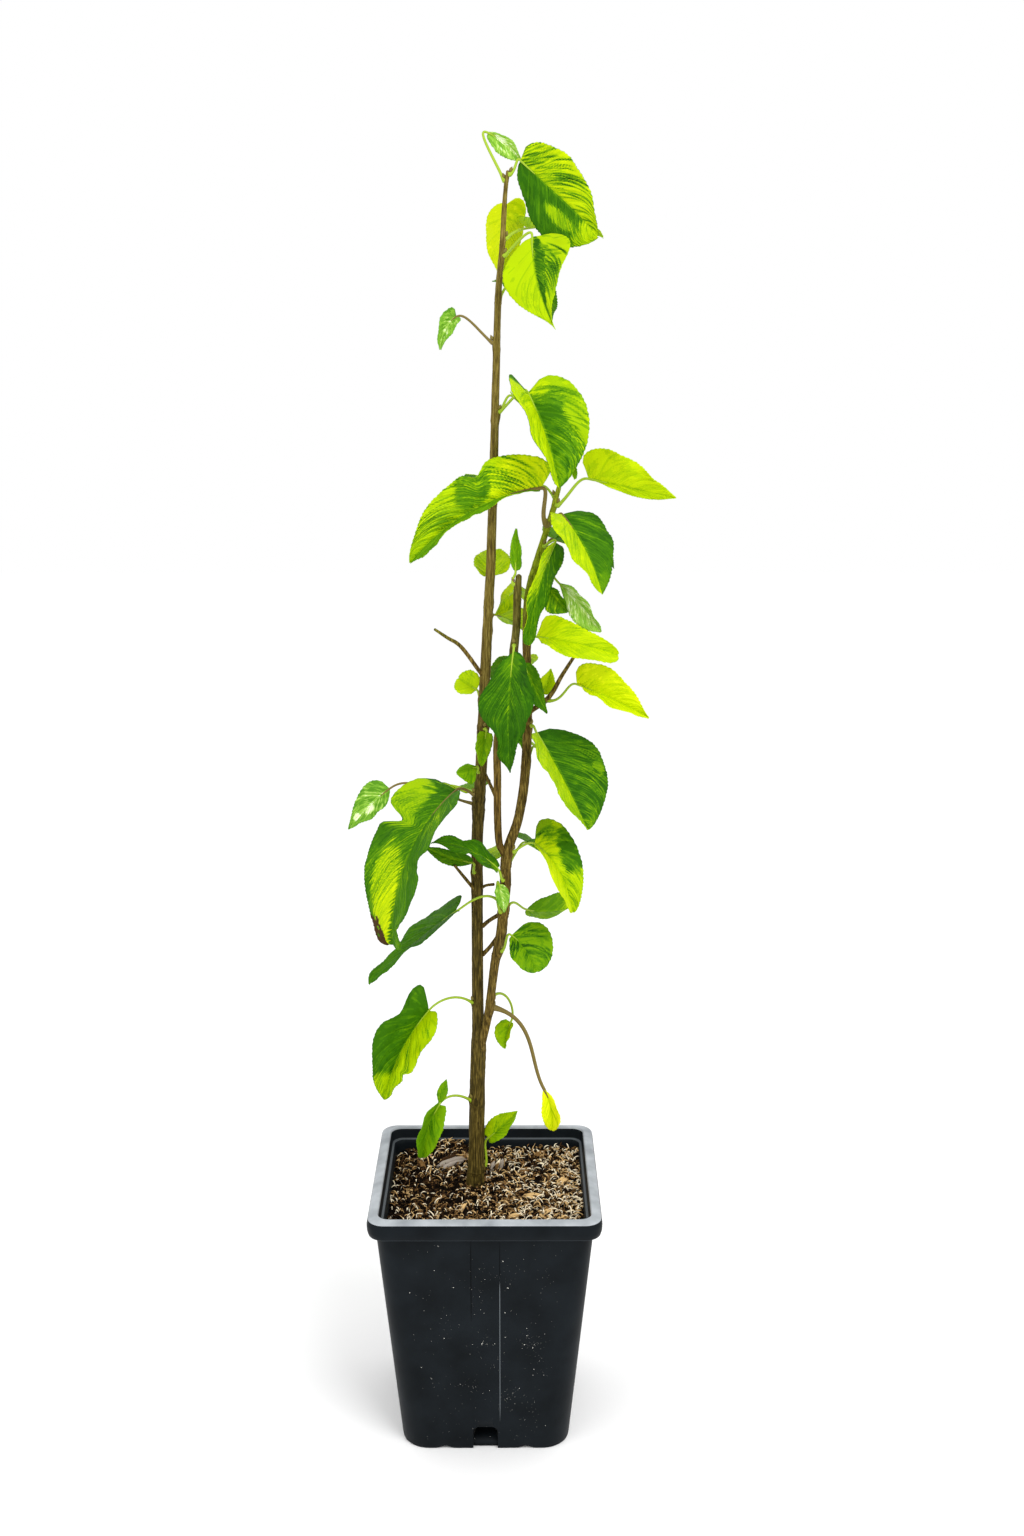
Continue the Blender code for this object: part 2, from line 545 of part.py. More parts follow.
def main():
    """Empty the scene and build the pot, the soil, the limbs and the leaves."""
    for thing in list(bpy.data.objects):
        bpy.data.objects.remove(thing)
    bpy.context.scene.collection.children.link(bpy.data.collections.new(COLLECTION))
    plastic = material("pot plastic", (0.018, 0.020, 0.023), 0.45)
    earth = material("bark soil", (0.115, 0.070, 0.042), 0.95)
    bark = material("bark", (0.30, 0.24, 0.15), 0.8)
    green = material("leaf", (0.20, 0.38, 0.03), 0.5)
    make_pot(plastic)
    make_soil(earth)
    make_limbs(bark)
    for leaf in leaf_rows():
        make_leaf(leaf, green)


main()
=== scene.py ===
"""A young white mulberry with two stems in a square nursery pot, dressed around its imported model."""
from math import pi, radians

import bpy
import numpy as np
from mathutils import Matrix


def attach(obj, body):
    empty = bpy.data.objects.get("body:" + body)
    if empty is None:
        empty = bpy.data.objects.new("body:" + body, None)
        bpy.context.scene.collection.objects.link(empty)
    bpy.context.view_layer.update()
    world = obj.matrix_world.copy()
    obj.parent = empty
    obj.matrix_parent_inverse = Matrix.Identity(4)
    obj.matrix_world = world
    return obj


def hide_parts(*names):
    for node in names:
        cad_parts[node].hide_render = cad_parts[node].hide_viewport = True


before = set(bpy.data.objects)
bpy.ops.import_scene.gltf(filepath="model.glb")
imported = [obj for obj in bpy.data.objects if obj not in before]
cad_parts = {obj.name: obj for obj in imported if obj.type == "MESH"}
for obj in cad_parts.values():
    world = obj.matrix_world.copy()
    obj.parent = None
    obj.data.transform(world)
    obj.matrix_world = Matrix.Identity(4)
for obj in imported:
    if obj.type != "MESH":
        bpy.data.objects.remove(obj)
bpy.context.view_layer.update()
MM = 0.001

# The pot is one injection moulding in black plastic: four tapering walls, a skirted rim whose top slopes outwards, and
# an inner ledge. It stands on a scalloped foot ring, with a drain slot cut through the middle of each side.
POT_HEIGHT = 207
FOOT_HALF = 66.5
NECK_HALF = 85
RIM_HALF = 90
RIM_SKIRT = 15
RIM_SLOPE = 1.9
FOOT_CORNER = 22
NECK_CORNER = 13
LEDGE_DROP = 10
SCALLOP_RISE = 2.4
SCALLOP_PLACE = 32
SLOT_WIDTH = 19.5
SLOT_HEIGHT = 20.5
SLOT_ROUND = 5
# A nick in the rim's top on the right.
NICK_PLACE = (85, -9)
NICK_DEPTH = 1.6


def add_mesh(name, points, faces, finishes, picks=None):
    """A mesh object from points in millimetres and arrays of faces, each face with its finish's number."""
    mesh = bpy.data.meshes.new(name)
    rows = [row for part in faces for row in part.tolist()]
    mesh.from_pydata((points * MM).tolist(), [], rows)
    for finish in finishes:
        mesh.materials.append(finish)
    if picks is not None:
        mesh.polygons.foreach_set("material_index", np.concatenate(picks).astype(np.int32))
    mesh.polygons.foreach_set("use_smooth", np.ones(len(rows), bool))
    mesh.update()
    thing = bpy.data.objects.new(name, mesh)
    bpy.context.scene.collection.objects.link(thing)
    return thing


def ring_quads(levels, count, start=0):
    """Quads between rings of equal counts, one above another, as numbers of the points."""
    low = start + np.arange(levels - 1)[:, None] * count + np.arange(count)
    after = start + np.arange(levels - 1)[:, None] * count + (np.arange(count) + 1) % count
    return np.stack([low, after, after + count, low + count], axis=-1).reshape(-1, 4)


def plain(name, colour, roughness, specular=0.5):
    """A finish of one base colour, given as the red, green and blue of a colour picker."""
    new = bpy.data.materials.new(name)
    new.use_nodes = True
    shader = new.node_tree.nodes["Principled BSDF"]
    linear = [(c / 255 / 12.92) if c < 10.3 else ((c / 255 + 0.055) / 1.055) ** 2.4 for c in colour]
    shader.inputs["Base Color"].default_value = (*linear, 1)
    shader.inputs["Roughness"].default_value = roughness
    shader.inputs["Specular IOR Level"].default_value = specular
    return new


def patterned(name, colours, roughness, scale, detail=4, specular=0.5, squash=(1, 1, 1)):
    """A finish whose base colour runs through several colours by a noise of object coordinates."""
    new = plain(name, colours[0][1], roughness, specular)
    nodes, links = new.node_tree.nodes, new.node_tree.links
    place = nodes.new("ShaderNodeTexCoord")
    turn = nodes.new("ShaderNodeMapping")
    turn.inputs["Scale"].default_value = squash
    noise = nodes.new("ShaderNodeTexNoise")
    noise.inputs["Scale"].default_value = scale
    noise.inputs["Detail"].default_value = detail
    ramp = nodes.new("ShaderNodeValToRGB")
    band = ramp.color_ramp
    while len(band.elements) < len(colours):
        band.elements.new(0.5)
    for element, (stop, colour) in zip(band.elements, colours):
        element.position = stop
        element.color = (*[((c / 255 + 0.055) / 1.055) ** 2.4 for c in colour], 1)
    links.new(place.outputs["Object"], turn.inputs["Vector"])
    links.new(turn.outputs["Vector"], noise.inputs["Vector"])
    links.new(noise.outputs["Fac"], ramp.inputs["Fac"])
    links.new(ramp.outputs["Color"], nodes["Principled BSDF"].inputs["Base Color"])
    return new


def square_rings(half, corner, z, stops, corner_steps=10):
    """Rings round a square with rounded corners: straight sides at the stops, then quarter circles.

    half, corner and z hold one number for each ring; stops run from -1 to 1 along a side's straight part.
    """
    half, corner = np.asarray(half, float)[:, None], np.asarray(corner, float)[:, None]
    turn = np.linspace(0, pi / 2, corner_steps + 2)[1:-1]
    out = np.concatenate([np.broadcast_to(half, (len(half), len(stops))),
                          half - corner + corner * np.cos(turn)], axis=1)
    along = np.concatenate([(half - corner) * stops, half - corner + corner * np.sin(turn)], axis=1)
    sides = [np.stack([out, along], -1)]
    for _ in range(3):
        x, y = sides[-1][..., 0], sides[-1][..., 1]
        sides.append(np.stack([-y, x], -1))
    flat = np.concatenate(sides, axis=1)
    height = np.broadcast_to(np.asarray(z, float)[:, None, None], flat.shape[:2] + (1,))
    return np.concatenate([flat, height], axis=2)


def round_off(stations, radius, steps=3):
    """A profile whose corners are rounded: each inner station becomes a short arc between its two sides."""
    path = np.array(stations, float)
    out = [path[:1]]
    for before, here, after in zip(path[:-2], path[1:-1], path[2:]):
        a, b = before - here, after - here
        la, lb = np.linalg.norm(a[[0, 2]]), np.linalg.norm(b[[0, 2]])
        reach = min(radius, 0.45 * la, 0.45 * lb)
        t = np.linspace(0, 1, steps + 1)[:, None]
        first, last = here + a / la * reach, here + b / lb * reach
        out.append((1 - t) ** 2 * first + 2 * t * (1 - t) * here + t ** 2 * last)
    return np.concatenate(out + [path[-1:]])


skirt_low = POT_HEIGHT - RIM_SKIRT
wall = np.linspace(4, skirt_low - 3, 24)
wall_half = FOOT_HALF + (NECK_HALF - FOOT_HALF) * wall / POT_HEIGHT
wall_corner = FOOT_CORNER + (NECK_CORNER - FOOT_CORNER) * wall / POT_HEIGHT
outside = round_off(
    [(20, 6, 2.2), (FOOT_HALF - 3.2, FOOT_CORNER - 3, 2.2), (FOOT_HALF - 3, FOOT_CORNER - 3, 0),
     (FOOT_HALF - 0.2, FOOT_CORNER, 0), (wall_half[0], wall_corner[0], wall[0])], 1.2)
rim = round_off(
    [(wall_half[-1], wall_corner[-1], wall[-1]), (NECK_HALF - 0.4, NECK_CORNER, skirt_low + 10),
     (NECK_HALF + 0.4, NECK_CORNER, POT_HEIGHT - 4.5), (RIM_HALF - 2.4, 12, POT_HEIGHT - 4.5),
     (RIM_HALF - 2.4, 12, skirt_low + 0.6), (RIM_HALF - 1.4, 12.6, skirt_low), (RIM_HALF - 0.3, 13, skirt_low + 4),
     (RIM_HALF, 13.4, POT_HEIGHT - 6), (RIM_HALF - 0.9, 13, POT_HEIGHT - RIM_SLOPE), (RIM_HALF - 8, 9.5, POT_HEIGHT),
     (RIM_HALF - 9, 9, POT_HEIGHT - 2.8), (RIM_HALF - 9.8, 9, POT_HEIGHT - LEDGE_DROP),
     (RIM_HALF - 12, 8.5, POT_HEIGHT - LEDGE_DROP - 0.3), (RIM_HALF - 12.8, 8.5, POT_HEIGHT - LEDGE_DROP - 3)], 1)
inside = [(NECK_HALF - 8.5, 9, 150), (FOOT_HALF - 2.5, FOOT_CORNER - 3, 5), (20, 6, 4.5)]
side_wall = np.stack([wall_half, wall_corner, wall], 1)
profile = np.concatenate([outside[:-1], side_wall, rim[1:], inside])
nick_stop = NICK_PLACE[1] / (RIM_HALF - 13)
stops = np.unique(np.concatenate([np.linspace(-1, 1, 57), nick_stop + np.linspace(-.03, .03, 9)]).round(4))
rings = square_rings(profile[:, 0], profile[:, 1], profile[:, 2], stops)
x, y, z = rings[..., 0], rings[..., 1], rings[..., 2]
near_foot = np.clip(1 - z / 3.4, 0, 1)
for across, face in ((x, y), (y, x)):
    bay = np.exp(-((abs(across) - SCALLOP_PLACE) / 4.2) ** 2) * (abs(face) > abs(across))
    z += SCALLOP_RISE * near_foot * bay
nick = NICK_DEPTH * np.exp(-(((x - NICK_PLACE[0]) / 2.4) ** 2 + ((y - NICK_PLACE[1]) / 0.9) ** 2))
z -= nick * (z > POT_HEIGHT - 4)
count, levels = rings.shape[1], rings.shape[0]
middle = (profile[1:] + profile[:-1]) / 2
# The rim's top is given a paler grey plastic: a painted sheen of the light reflected off it.
on_rim = (middle[:, 2] > POT_HEIGHT - RIM_SLOPE - 0.5) & (middle[:, 0] > RIM_HALF - 8.6)
# The skirt's lower lip is given a paler plastic: a painted highlight along its edge.
on_lip = (abs(middle[:, 2] - skirt_low - 0.7) < 0.7) & (middle[:, 0] > RIM_HALF - 1.9)
# The ledge's edge is given a paler plastic: a painted highlight.
on_ledge = (abs(middle[:, 2] - POT_HEIGHT + LEDGE_DROP) < 0.5) & (middle[:, 0] < RIM_HALF - 9.9)
POT_FINISHES = [
    patterned("black plastic", [(0.3, (13, 17, 20)), (0.7, (22, 27, 31))], 0.45, 35, specular=0.06),
    patterned("rim plastic with painted sheen", [(0.3, (140, 145, 150)), (0.75, (182, 187, 192))], 0.45, 60, specular=0.2),
    plain("ledge plastic with painted highlight", (78, 83, 87), 0.5, 0.15), plain("lip plastic with painted highlight", (62, 68, 74), 0.5, 0.15)]
pot_faces = [ring_quads(levels, count), np.arange(count)[None, ::-1], (levels - 1) * count + np.arange(count)[None]]
pot = add_mesh("pot_shell", rings.reshape(-1, 3), pot_faces, POT_FINISHES,
               [np.repeat(on_rim + 2 * on_ledge + 3 * on_lip, count), np.zeros(1), np.zeros(1)])
turn = np.linspace(0, pi / 2, 7)
arch = np.stack([SLOT_WIDTH / 2 + SLOT_ROUND * (np.cos(turn) - 1), SLOT_HEIGHT + SLOT_ROUND * (np.sin(turn) - 1)], 1)
arch = np.concatenate([[(SLOT_WIDTH / 2, -20)], arch, arch[::-1] * (-1, 1), [(-SLOT_WIDTH / 2, -20)]])
for number in range(4):
    prism = np.stack([np.column_stack([arch[:, 0], np.full(len(arch), out), arch[:, 1]])
                      for out in (3 - FOOT_HALF, -9 - FOOT_HALF)])
    ends = np.arange(len(arch))
    cutter = add_mesh("cutter", prism.reshape(-1, 3),
                      [ring_quads(2, len(arch)), ends[None, ::-1], ends[None] + len(arch)], POT_FINISHES[:1])
    cutter.rotation_euler[2] = number * pi / 2
    cut = pot.modifiers.new("drain slot", "BOOLEAN")
    cut.operation = "DIFFERENCE"
    cut.object = cutter
    with bpy.context.temp_override(object=pot, active_object=pot, selected_objects=[pot]):
        bpy.ops.object.modifier_apply(modifier="drain slot")
    bpy.data.objects.remove(cutter)
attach(pot, "root")
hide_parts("pot")

# Two parting lines of the mould run up the front wall as thin strips standing a little proud, in places pale, a painted
# highlight along the ridge, elsewhere dark, a painted shade as of a fine groove. Each is a thin strip on the wall: x,
# lowest and highest z, width, finish.
SEAMS = [(11.5, 26, 158, 0.6, 0), (11.5, 150, 191, 0.5, 1), (-10.6, 118, 191, 0.6, 1)]
SEAM_STAND = 0.12
seam_points, seam_faces, seam_picks = [], [], []
for x, low, high, width, finish in SEAMS:
    z = np.linspace(low, high, 40)
    front = -(FOOT_HALF + (NECK_HALF - FOOT_HALF) * z / POT_HEIGHT)
    thin = width * np.clip(np.minimum(z - low, high - z) / 12, 0.15, 1) / 2
    corners = [(-thin, SEAM_STAND), (thin, SEAM_STAND), (thin, -0.3), (-thin, -0.3)]
    strip = np.stack([np.stack([x + dx, front - dy, z], -1) for dx, dy in corners], 1)
    seam_faces += [ring_quads(40, 4) + 160 * len(seam_points), np.array([[3, 2, 1, 0], [156, 157, 158, 159]])
                   + 160 * len(seam_points)]
    seam_picks += [np.full(156, finish), np.full(2, finish)]
    seam_points.append(strip.reshape(-1, 3))
seams = add_mesh("mould_lines", np.concatenate(seam_points), seam_faces,
                 [plain("seam with painted highlight", (96, 102, 106), 0.5, 0.15), plain("seam with painted shade", (6, 8, 10), 0.6, 0.05)], seam_picks)
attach(seams, "root")

# Splashed grit: small pale grains that stick to all four walls, thicker towards the foot, a few of them
# larger. Each is a flat eight-sided grain half sunk in the wall.
GRIT_A_SIDE = 420
dealt = np.random.default_rng(4)
count = 4 * GRIT_A_SIDE
knot = dealt.uniform(0.1, 0.9, (15, 2))[dealt.integers(0, 15, count)] + dealt.normal(0, 0.035, (count, 2))
loose = dealt.uniform(0, 1, (count, 2)) ** (1, 1.3)
spread = np.where(dealt.uniform(0, 1, (count, 1)) < 0.5, knot.clip(0, 1), loose)
z = 8 + 178 * spread[:, 1]
half = FOOT_HALF + (NECK_HALF - FOOT_HALF) * z / POT_HEIGHT
along = (2 * spread[:, 0] - 1) * (half - 20)
big = np.minimum(0.11 + dealt.exponential(0.05, count), 0.5)
long = big * dealt.uniform(0.8, 1.9, count)
lean = dealt.uniform(0, pi, count)
around = np.arange(6) * pi / 3
a = np.cos(around) * long[:, None]
b = np.sin(around) * big[:, None]
grain_x = along[:, None] + a * np.cos(lean)[:, None] - b * np.sin(lean)[:, None]
grain_z = z[:, None] + a * np.sin(lean)[:, None] + b * np.cos(lean)[:, None]
slope = (NECK_HALF - FOOT_HALF) / POT_HEIGHT
ring = np.stack([grain_x, -(FOOT_HALF + slope * grain_z), grain_z], -1)
peak = np.stack([along, -half - 0.22, z], -1)[:, None]
grains = np.concatenate([peak, ring, peak + (0, 0.6, 0)], 1)
side = np.arange(count) % 4 * pi / 2
grains = np.stack([grains[..., 0] * np.cos(side)[:, None] - grains[..., 1] * np.sin(side)[:, None],
                   grains[..., 0] * np.sin(side)[:, None] + grains[..., 1] * np.cos(side)[:, None],
                   grains[..., 2]], -1)
fan = np.array([[0, k + 1, (k + 1) % 6 + 1] for k in range(6)] + [[7, (k + 1) % 6 + 1, k + 1] for k in range(6)])
tone = (big > dealt.uniform(0.1, 0.4, count)).astype(int)
grit = add_mesh("grit", grains.reshape(-1, 3), [(fan[None] + 8 * np.arange(count)[:, None, None]).reshape(-1, 3)],
                [plain("grit dull", (120, 120, 114), 0.9, 0.1), plain("grit pale", (222, 220, 210), 0.9, 0.1)],
                [np.repeat(tone, 12)])
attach(grit, "root")

# The compost fills the pot to a finger's breadth below the rim: dark peat with a rough top that lies a
# little over the stem's foot, rises to the right and is heaped at the back left. Chips and curls of bark
# and coir lie all over it.
GROUND = 183
SOIL_HALF = 79
SOIL_OVER_FOOT = 4.5
SOIL_TILT = 4
HEAP = (-34, 68, 11, 25)
STEM_FOOT = (-8, 14)


def rough(x, y, size, seed, octaves=3):
    """A smooth random height between -1 and 1: sums of sine waves in random directions, halving in size."""
    dealt = np.random.default_rng(seed)
    total = np.zeros(np.broadcast(x, y).shape)
    for octave in range(octaves):
        for _ in range(5):
            turn, phase = dealt.uniform(0, 2 * pi, 2)
            wave = 2 * pi / size * 2 ** octave * dealt.uniform(0.7, 1.4)
            total += np.sin(wave * (x * np.cos(turn) + y * np.sin(turn)) + phase) / 2 ** octave
    return total / 5


def soil_height(x, y):
    """The soil's level: even at the stems, falling to the left wall, with a bell-shaped heap at the back."""
    away = np.hypot(x - STEM_FOOT[0], y - STEM_FOOT[1])
    blend = np.clip((away - 26) / 26, 0, 1)
    blend = blend * blend * (3 - 2 * blend)
    heap = HEAP[2] * np.exp(-((x - HEAP[0]) ** 2 + (y - HEAP[1]) ** 2) / HEAP[3] ** 2)
    return GROUND + SOIL_OVER_FOOT + blend * (heap + SOIL_TILT * x / NECK_HALF)


shares = np.concatenate([[1, 1], np.linspace(0.995, 0.02, 90)])
soil_rings = square_rings(SOIL_HALF * shares, 10 * shares, np.zeros(92), np.linspace(-1, 1, 61), 8)
x, y, z = soil_rings[..., 0], soil_rings[..., 1], soil_rings[..., 2]
z[:] = soil_height(x, y) + 1.5 * rough(x, y, 14, 3) + 0.8 * rough(x, y, 5, 4, 2) - 1.6
z[0] = 22
soil_rings[0, :, :2] *= 64 / SOIL_HALF
count = soil_rings.shape[1]
peat = patterned("peat", [(0.4, (10, 7, 4)), (0.55, (26, 18, 10)), (0.75, (62, 44, 26))], 0.95, 420, 5, 0.1)
soil_faces = [ring_quads(92, count), np.arange(count)[None, ::-1], 91 * count + np.arange(count)[None]]
soil = add_mesh("compost", soil_rings.reshape(-1, 3), soil_faces, [peat])
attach(soil, "root")
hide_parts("soil")

# Bark chips, coir curls and crumbs on the compost: bent, twisted flakes joined into two pieces. The finish
# of each is one plain colour; more of the pale ones lie on the right side, painted light from the sun on the right.
CHIP_FINISHES = [
    plain("chip dark", (22, 14, 8), 0.95, 0.05), plain("chip brown", (64, 44, 25), 0.95, 0.05),
    plain("chip tan", (134, 101, 60), 0.95, 0.05), plain("chip straw", (216, 180, 124), 0.95, 0.05),
    plain("chip pale", (255, 240, 208), 0.95, 0.05), plain("chip grey", (176, 164, 152), 0.95, 0.05)]
# Kinds of flake: how many, shortest, mean extra and longest length, width, thickness, curl, lift, tone.
FIBRES = [(3300, 3.5, 3.6, 15, (0.45, 1.0), (0.35, 0.6), (0.8, 4.2), (0.2, 4.0), 1.3)]
CRUMBS = [(1500, 2.4, 1.9, 8, (0.9, 2.3), (0.4, 0.9), (0, 1.4), (-0.5, 2.0), -0.4),
          (1700, 1.0, 0.9, 4, (0.7, 1.8), (0.5, 1.2), (0, 0.6), (-0.8, 0.8), -1.8)]
# Where a painted shadow darkens the compost, left of the stems: its middle and its two half sizes.
SOIL_SHADOW = (-26, 2, 22, 19)
# Large chips: x, y, length, width, thickness, turn, tilt, finish.
LARGE_CHIPS = [
    (-30, 47, 30, 8, 5, 32, 6, 5), (-29, 50, 26, 5, 3, 30, 8, 3), (4, 41, 13, 5, 4, 5, 74, 5),
    (8, 42, 14, 5, 4, -8, 70, 4), (12, 44, 11, 5, 3, 10, 76, 5), (-19, -27, 10, 5, 2, 60, 40, 3),
    (-13, -4, 14, 5, 2, -12, 8, 3), (62, 11, 10, 6, 3, 40, 20, 3), (36, -12, 18, 7, 3, -30, 14, 3),
    (48, -38, 15, 6, 2, 35, 14, 3), (-52, -34, 16, 4, 2, 75, 10, 2), (30, 34, 15, 5, 3, 12, 18, 2),
    (-48, 20, 12, 5, 3, -50, 18, 1), (22, -44, 15, 6, 2, 8, 12, 3), (60, -50, 12, 5, 2, -20, 10, 3),
    (-62, 4, 13, 5, 2, 100, 14, 3), (44, 62, 14, 5, 3, 30, 16, 2), (-6, -58, 17, 4, 2, 5, 8, 3),
    (-38, -12, 13, 6, 1.6, 20, 26, 2), (-55, 48, 15, 5, 2, 110, 15, 2), (14, 8, 12, 5, 2, 140, 24, 2)]


def flakes(place, size, turn, tilt, curl, seed, steps=5):
    """Bent flakes: a strip of four-cornered cross-sections along an arc of a circle, ragged at its ends.

    place (n, 3), size (n, 3), turn, tilt and curl (n) give n flakes at once, as points (n, steps, 4, 3).
    """
    dealt = np.random.default_rng(seed)
    n = len(place)
    t = np.linspace(-0.5, 0.5, steps)[None, :, None]
    bend = curl[:, None, None] + 1e-4
    along = np.sin(bend * t) / bend * size[:, 0, None, None]
    rise = (np.cos(bend * t) - 1) / bend * size[:, 0, None, None]
    narrow = (1 - (2 * t) ** 4 * 0.7) * dealt.uniform(0.7, 1.1, (n, steps, 1))
    corners = np.array([(-1, -1), (1, -1), (1, 1), (-1, 1)]) / 2
    y = corners[:, 0] * size[:, 1, None, None] * narrow + dealt.uniform(-.12, .12, (n, steps, 1)) * size[:, 1, None, None]
    z = corners[:, 1] * size[:, 2, None, None] * narrow + rise + np.zeros((n, 1, 1))
    x = along + np.zeros((n, steps, 4))
    x2 = x * np.cos(tilt)[:, None, None] - z * np.sin(tilt)[:, None, None]
    z2 = x * np.sin(tilt)[:, None, None] + z * np.cos(tilt)[:, None, None]
    x3 = x2 * np.cos(turn)[:, None, None] - y * np.sin(turn)[:, None, None]
    y3 = x2 * np.sin(turn)[:, None, None] + y * np.cos(turn)[:, None, None]
    return np.stack([x3, y3, z2], -1) + place[:, None, None]


def litter(name, kinds, large, seed, steps):
    """Flakes of each kind strewn over the compost, and the large chips, each split into a few slivers."""
    dealt = np.random.default_rng(seed)
    sizes, curls, lifts, tones = [], [], [], []
    for number, shortest, extra, longest, wide, thick, curl, lift, shade in kinds:
        sizes.append(np.stack([np.minimum(shortest + dealt.exponential(extra, number), longest),
                               dealt.uniform(*wide, number), dealt.uniform(*thick, number)], 1))
        curls.append(dealt.uniform(*curl, number))
        lifts.append(dealt.uniform(*lift, number))
        tones.append(np.full(number, shade))
    splits = 5
    chips = np.repeat(np.array(large, float).reshape(-1, 8), splits, axis=0)
    lane = np.tile(np.arange(splits) - (splits - 1) / 2, len(large)) * chips[:, 3] / splits
    chips[:, 0] -= lane * np.sin(np.radians(chips[:, 5]))
    chips[:, 1] += lane * np.cos(np.radians(chips[:, 5]))
    chips[:, 2] *= dealt.uniform(0.6, 1.05, len(chips))
    chips[:, 3] *= 1.5 / splits
    chips[:, 4] *= dealt.uniform(0.6, 1.0, len(chips))
    chips[:, 5] += dealt.normal(0, 4, len(chips))
    chips[:, 7] = np.where(dealt.uniform(0, 1, len(chips)) < 0.25, dealt.integers(1, 3, len(chips)), chips[:, 7])
    count = sum(len(s) for s in sizes)
    spot = np.concatenate([dealt.uniform(2 - SOIL_HALF, SOIL_HALF - 2, (count, 2)), chips[:, :2]])
    size = np.concatenate(sizes + [chips[:, 2:5]])
    turn = np.concatenate([dealt.uniform(0, 2 * pi, count), np.radians(chips[:, 5])])
    tilt = np.concatenate([dealt.normal(0, 0.4, count), np.radians(chips[:, 6])])
    curl = np.concatenate(curls + [np.full(len(chips), 0.4)])
    lie = soil_height(*spot.T) + np.concatenate(lifts + [chips[:, 4] * 0.3 + 0.5])
    points = flakes(np.column_stack([spot, lie]), size, turn, tilt, curl, seed + 1, steps)
    x, y = spot[:count].T
    # A painted shadow on the compost left of the stems.
    painted_shadow = np.exp(-((x - SOIL_SHADOW[0]) / SOIL_SHADOW[2]) ** 2 - ((y - SOIL_SHADOW[1]) / SOIL_SHADOW[3]) ** 2)
    # The tone grows lighter towards the right: painted light from the right.
    tone = 0.8 + x / 95 - 1.4 * painted_shadow + 1.6 * rough(x, y, 16, 8) + 1.3 * rough(x, y, 6, 9, 1) + np.concatenate(tones)
    tone = np.clip(np.round(dealt.normal(tone, 1.7)), 0, 4)
    tone = np.concatenate([tone, chips[:, 7]]).astype(int)
    n = len(points)
    start = np.arange(n)[:, None] * steps * 4
    walls = (ring_quads(steps, 4)[None] + start[:, :, None]).reshape(-1, 4)
    ends = np.concatenate([start + [3, 2, 1, 0], start + (steps - 1) * 4 + [0, 1, 2, 3]])
    thing = add_mesh(name, points.reshape(-1, 3), [walls, ends], CHIP_FINISHES,
                     [np.repeat(tone, (steps - 1) * 4), np.tile(tone, 2)])
    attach(thing, "root")


litter("coir_fibres", FIBRES, [], 41, 7)
litter("bark_chips", CRUMBS, LARGE_CHIPS, 21, 5)


# Trunk, second stem and boughs: young wood, each one tapering limb. The bark is thin, with fine ridges that
# run up the stem, a swelling at every leaf's foot, and a ring scar under it. Each limb is its own piece.
LIMBS = {
    "trunk": [
        (0, -9, 14, 8.4), (8, -9, 14, 7.4), (30, -8, 13, 6.5), (120, -6, 11, 5.9), (150, -6, 11, 4.6),
        (290, -6, 9, 4.5), (345, -3, 8, 4.4), (410, 0, 7, 4.1), (470, 3, 6, 3.7), (530, 6, 5, 3.4),
        (631, 9, 3, 2.8), (701, 11, 1, 2.4), (735, 14, 0, 2.0), (769, 16, -1, 1.6), (788, 18, -2, 1.1)],
    "second_stem": [
        (125, -4, 9, 3.2), (154, 2, 4, 3.3), (177, 5, 2, 3.4), (201, 8, 0, 3.6), (220, 12, -2, 4.1),
        (240, 14, -4, 4.0), (267, 16, -6, 4.0), (290, 17, -7, 3.8), (318, 26, -4, 3.5), (350, 31, -1, 3.5),
        (400, 33, 3, 3.4), (455, 32, 6, 3.1), (490, 34, 7, 2.9), (520, 42, 9, 2.4), (545, 50, 11, 2.1),
        (567, 56, 12, 1.7)],
    "left_bough": [
        (292, 14, -7, 2.7), (300, 11, -8, 2.8), (322, 10, -9, 2.9), (349, 10, -10, 2.9), (380, 10, -11, 2.9),
        (405, 15, -12, 3.0), (434, 20, -13, 3.0), (463, 24, -14, 3.0), (486, 25, -15, 2.9), (504, 26, -16, 2.2)],
    "bare_twig": [
        (428, -2, 5, 1.6), (450, -17, -5, 1.5), (458, -27, -12, 1.3), (465, -36, -18, 1.0)],
    "right_twig": [
        (398, 33, 2, 1.9), (413, 49, -10, 1.7), (430, 58, -17, 1.5), (446, 67, -25, 1.2)],
    "fork_twig": [
        (254, -6, 9, 1.4), (268, -15, 1, 1.3), (281, -23, -8, 1.0)],
}
LIMB_SIDES = {"trunk": 44, "second_stem": 40, "left_bough": 36}
RING_STEP = 1.5
# Short twigs that cross between the stems: each end's height, x and y, and the radius.
CROSS_TWIGS = [
    [(227, -2, 9, 1.7), (233, 3, 4, 1.5), (240, 11, -2, 1.6)], [(203, -2, 10, 1.8), (211, 4, 6, 1.6), (222, 11, 1, 1.9)],
    [(350, 0, 8, 1.6), (344, 4, 0, 1.3), (335, 9, -8, 1.6)], [(258, -3, 9, 1.4), (262, 1, 3, 1.1), (264, 7, -1, 1.2)]]

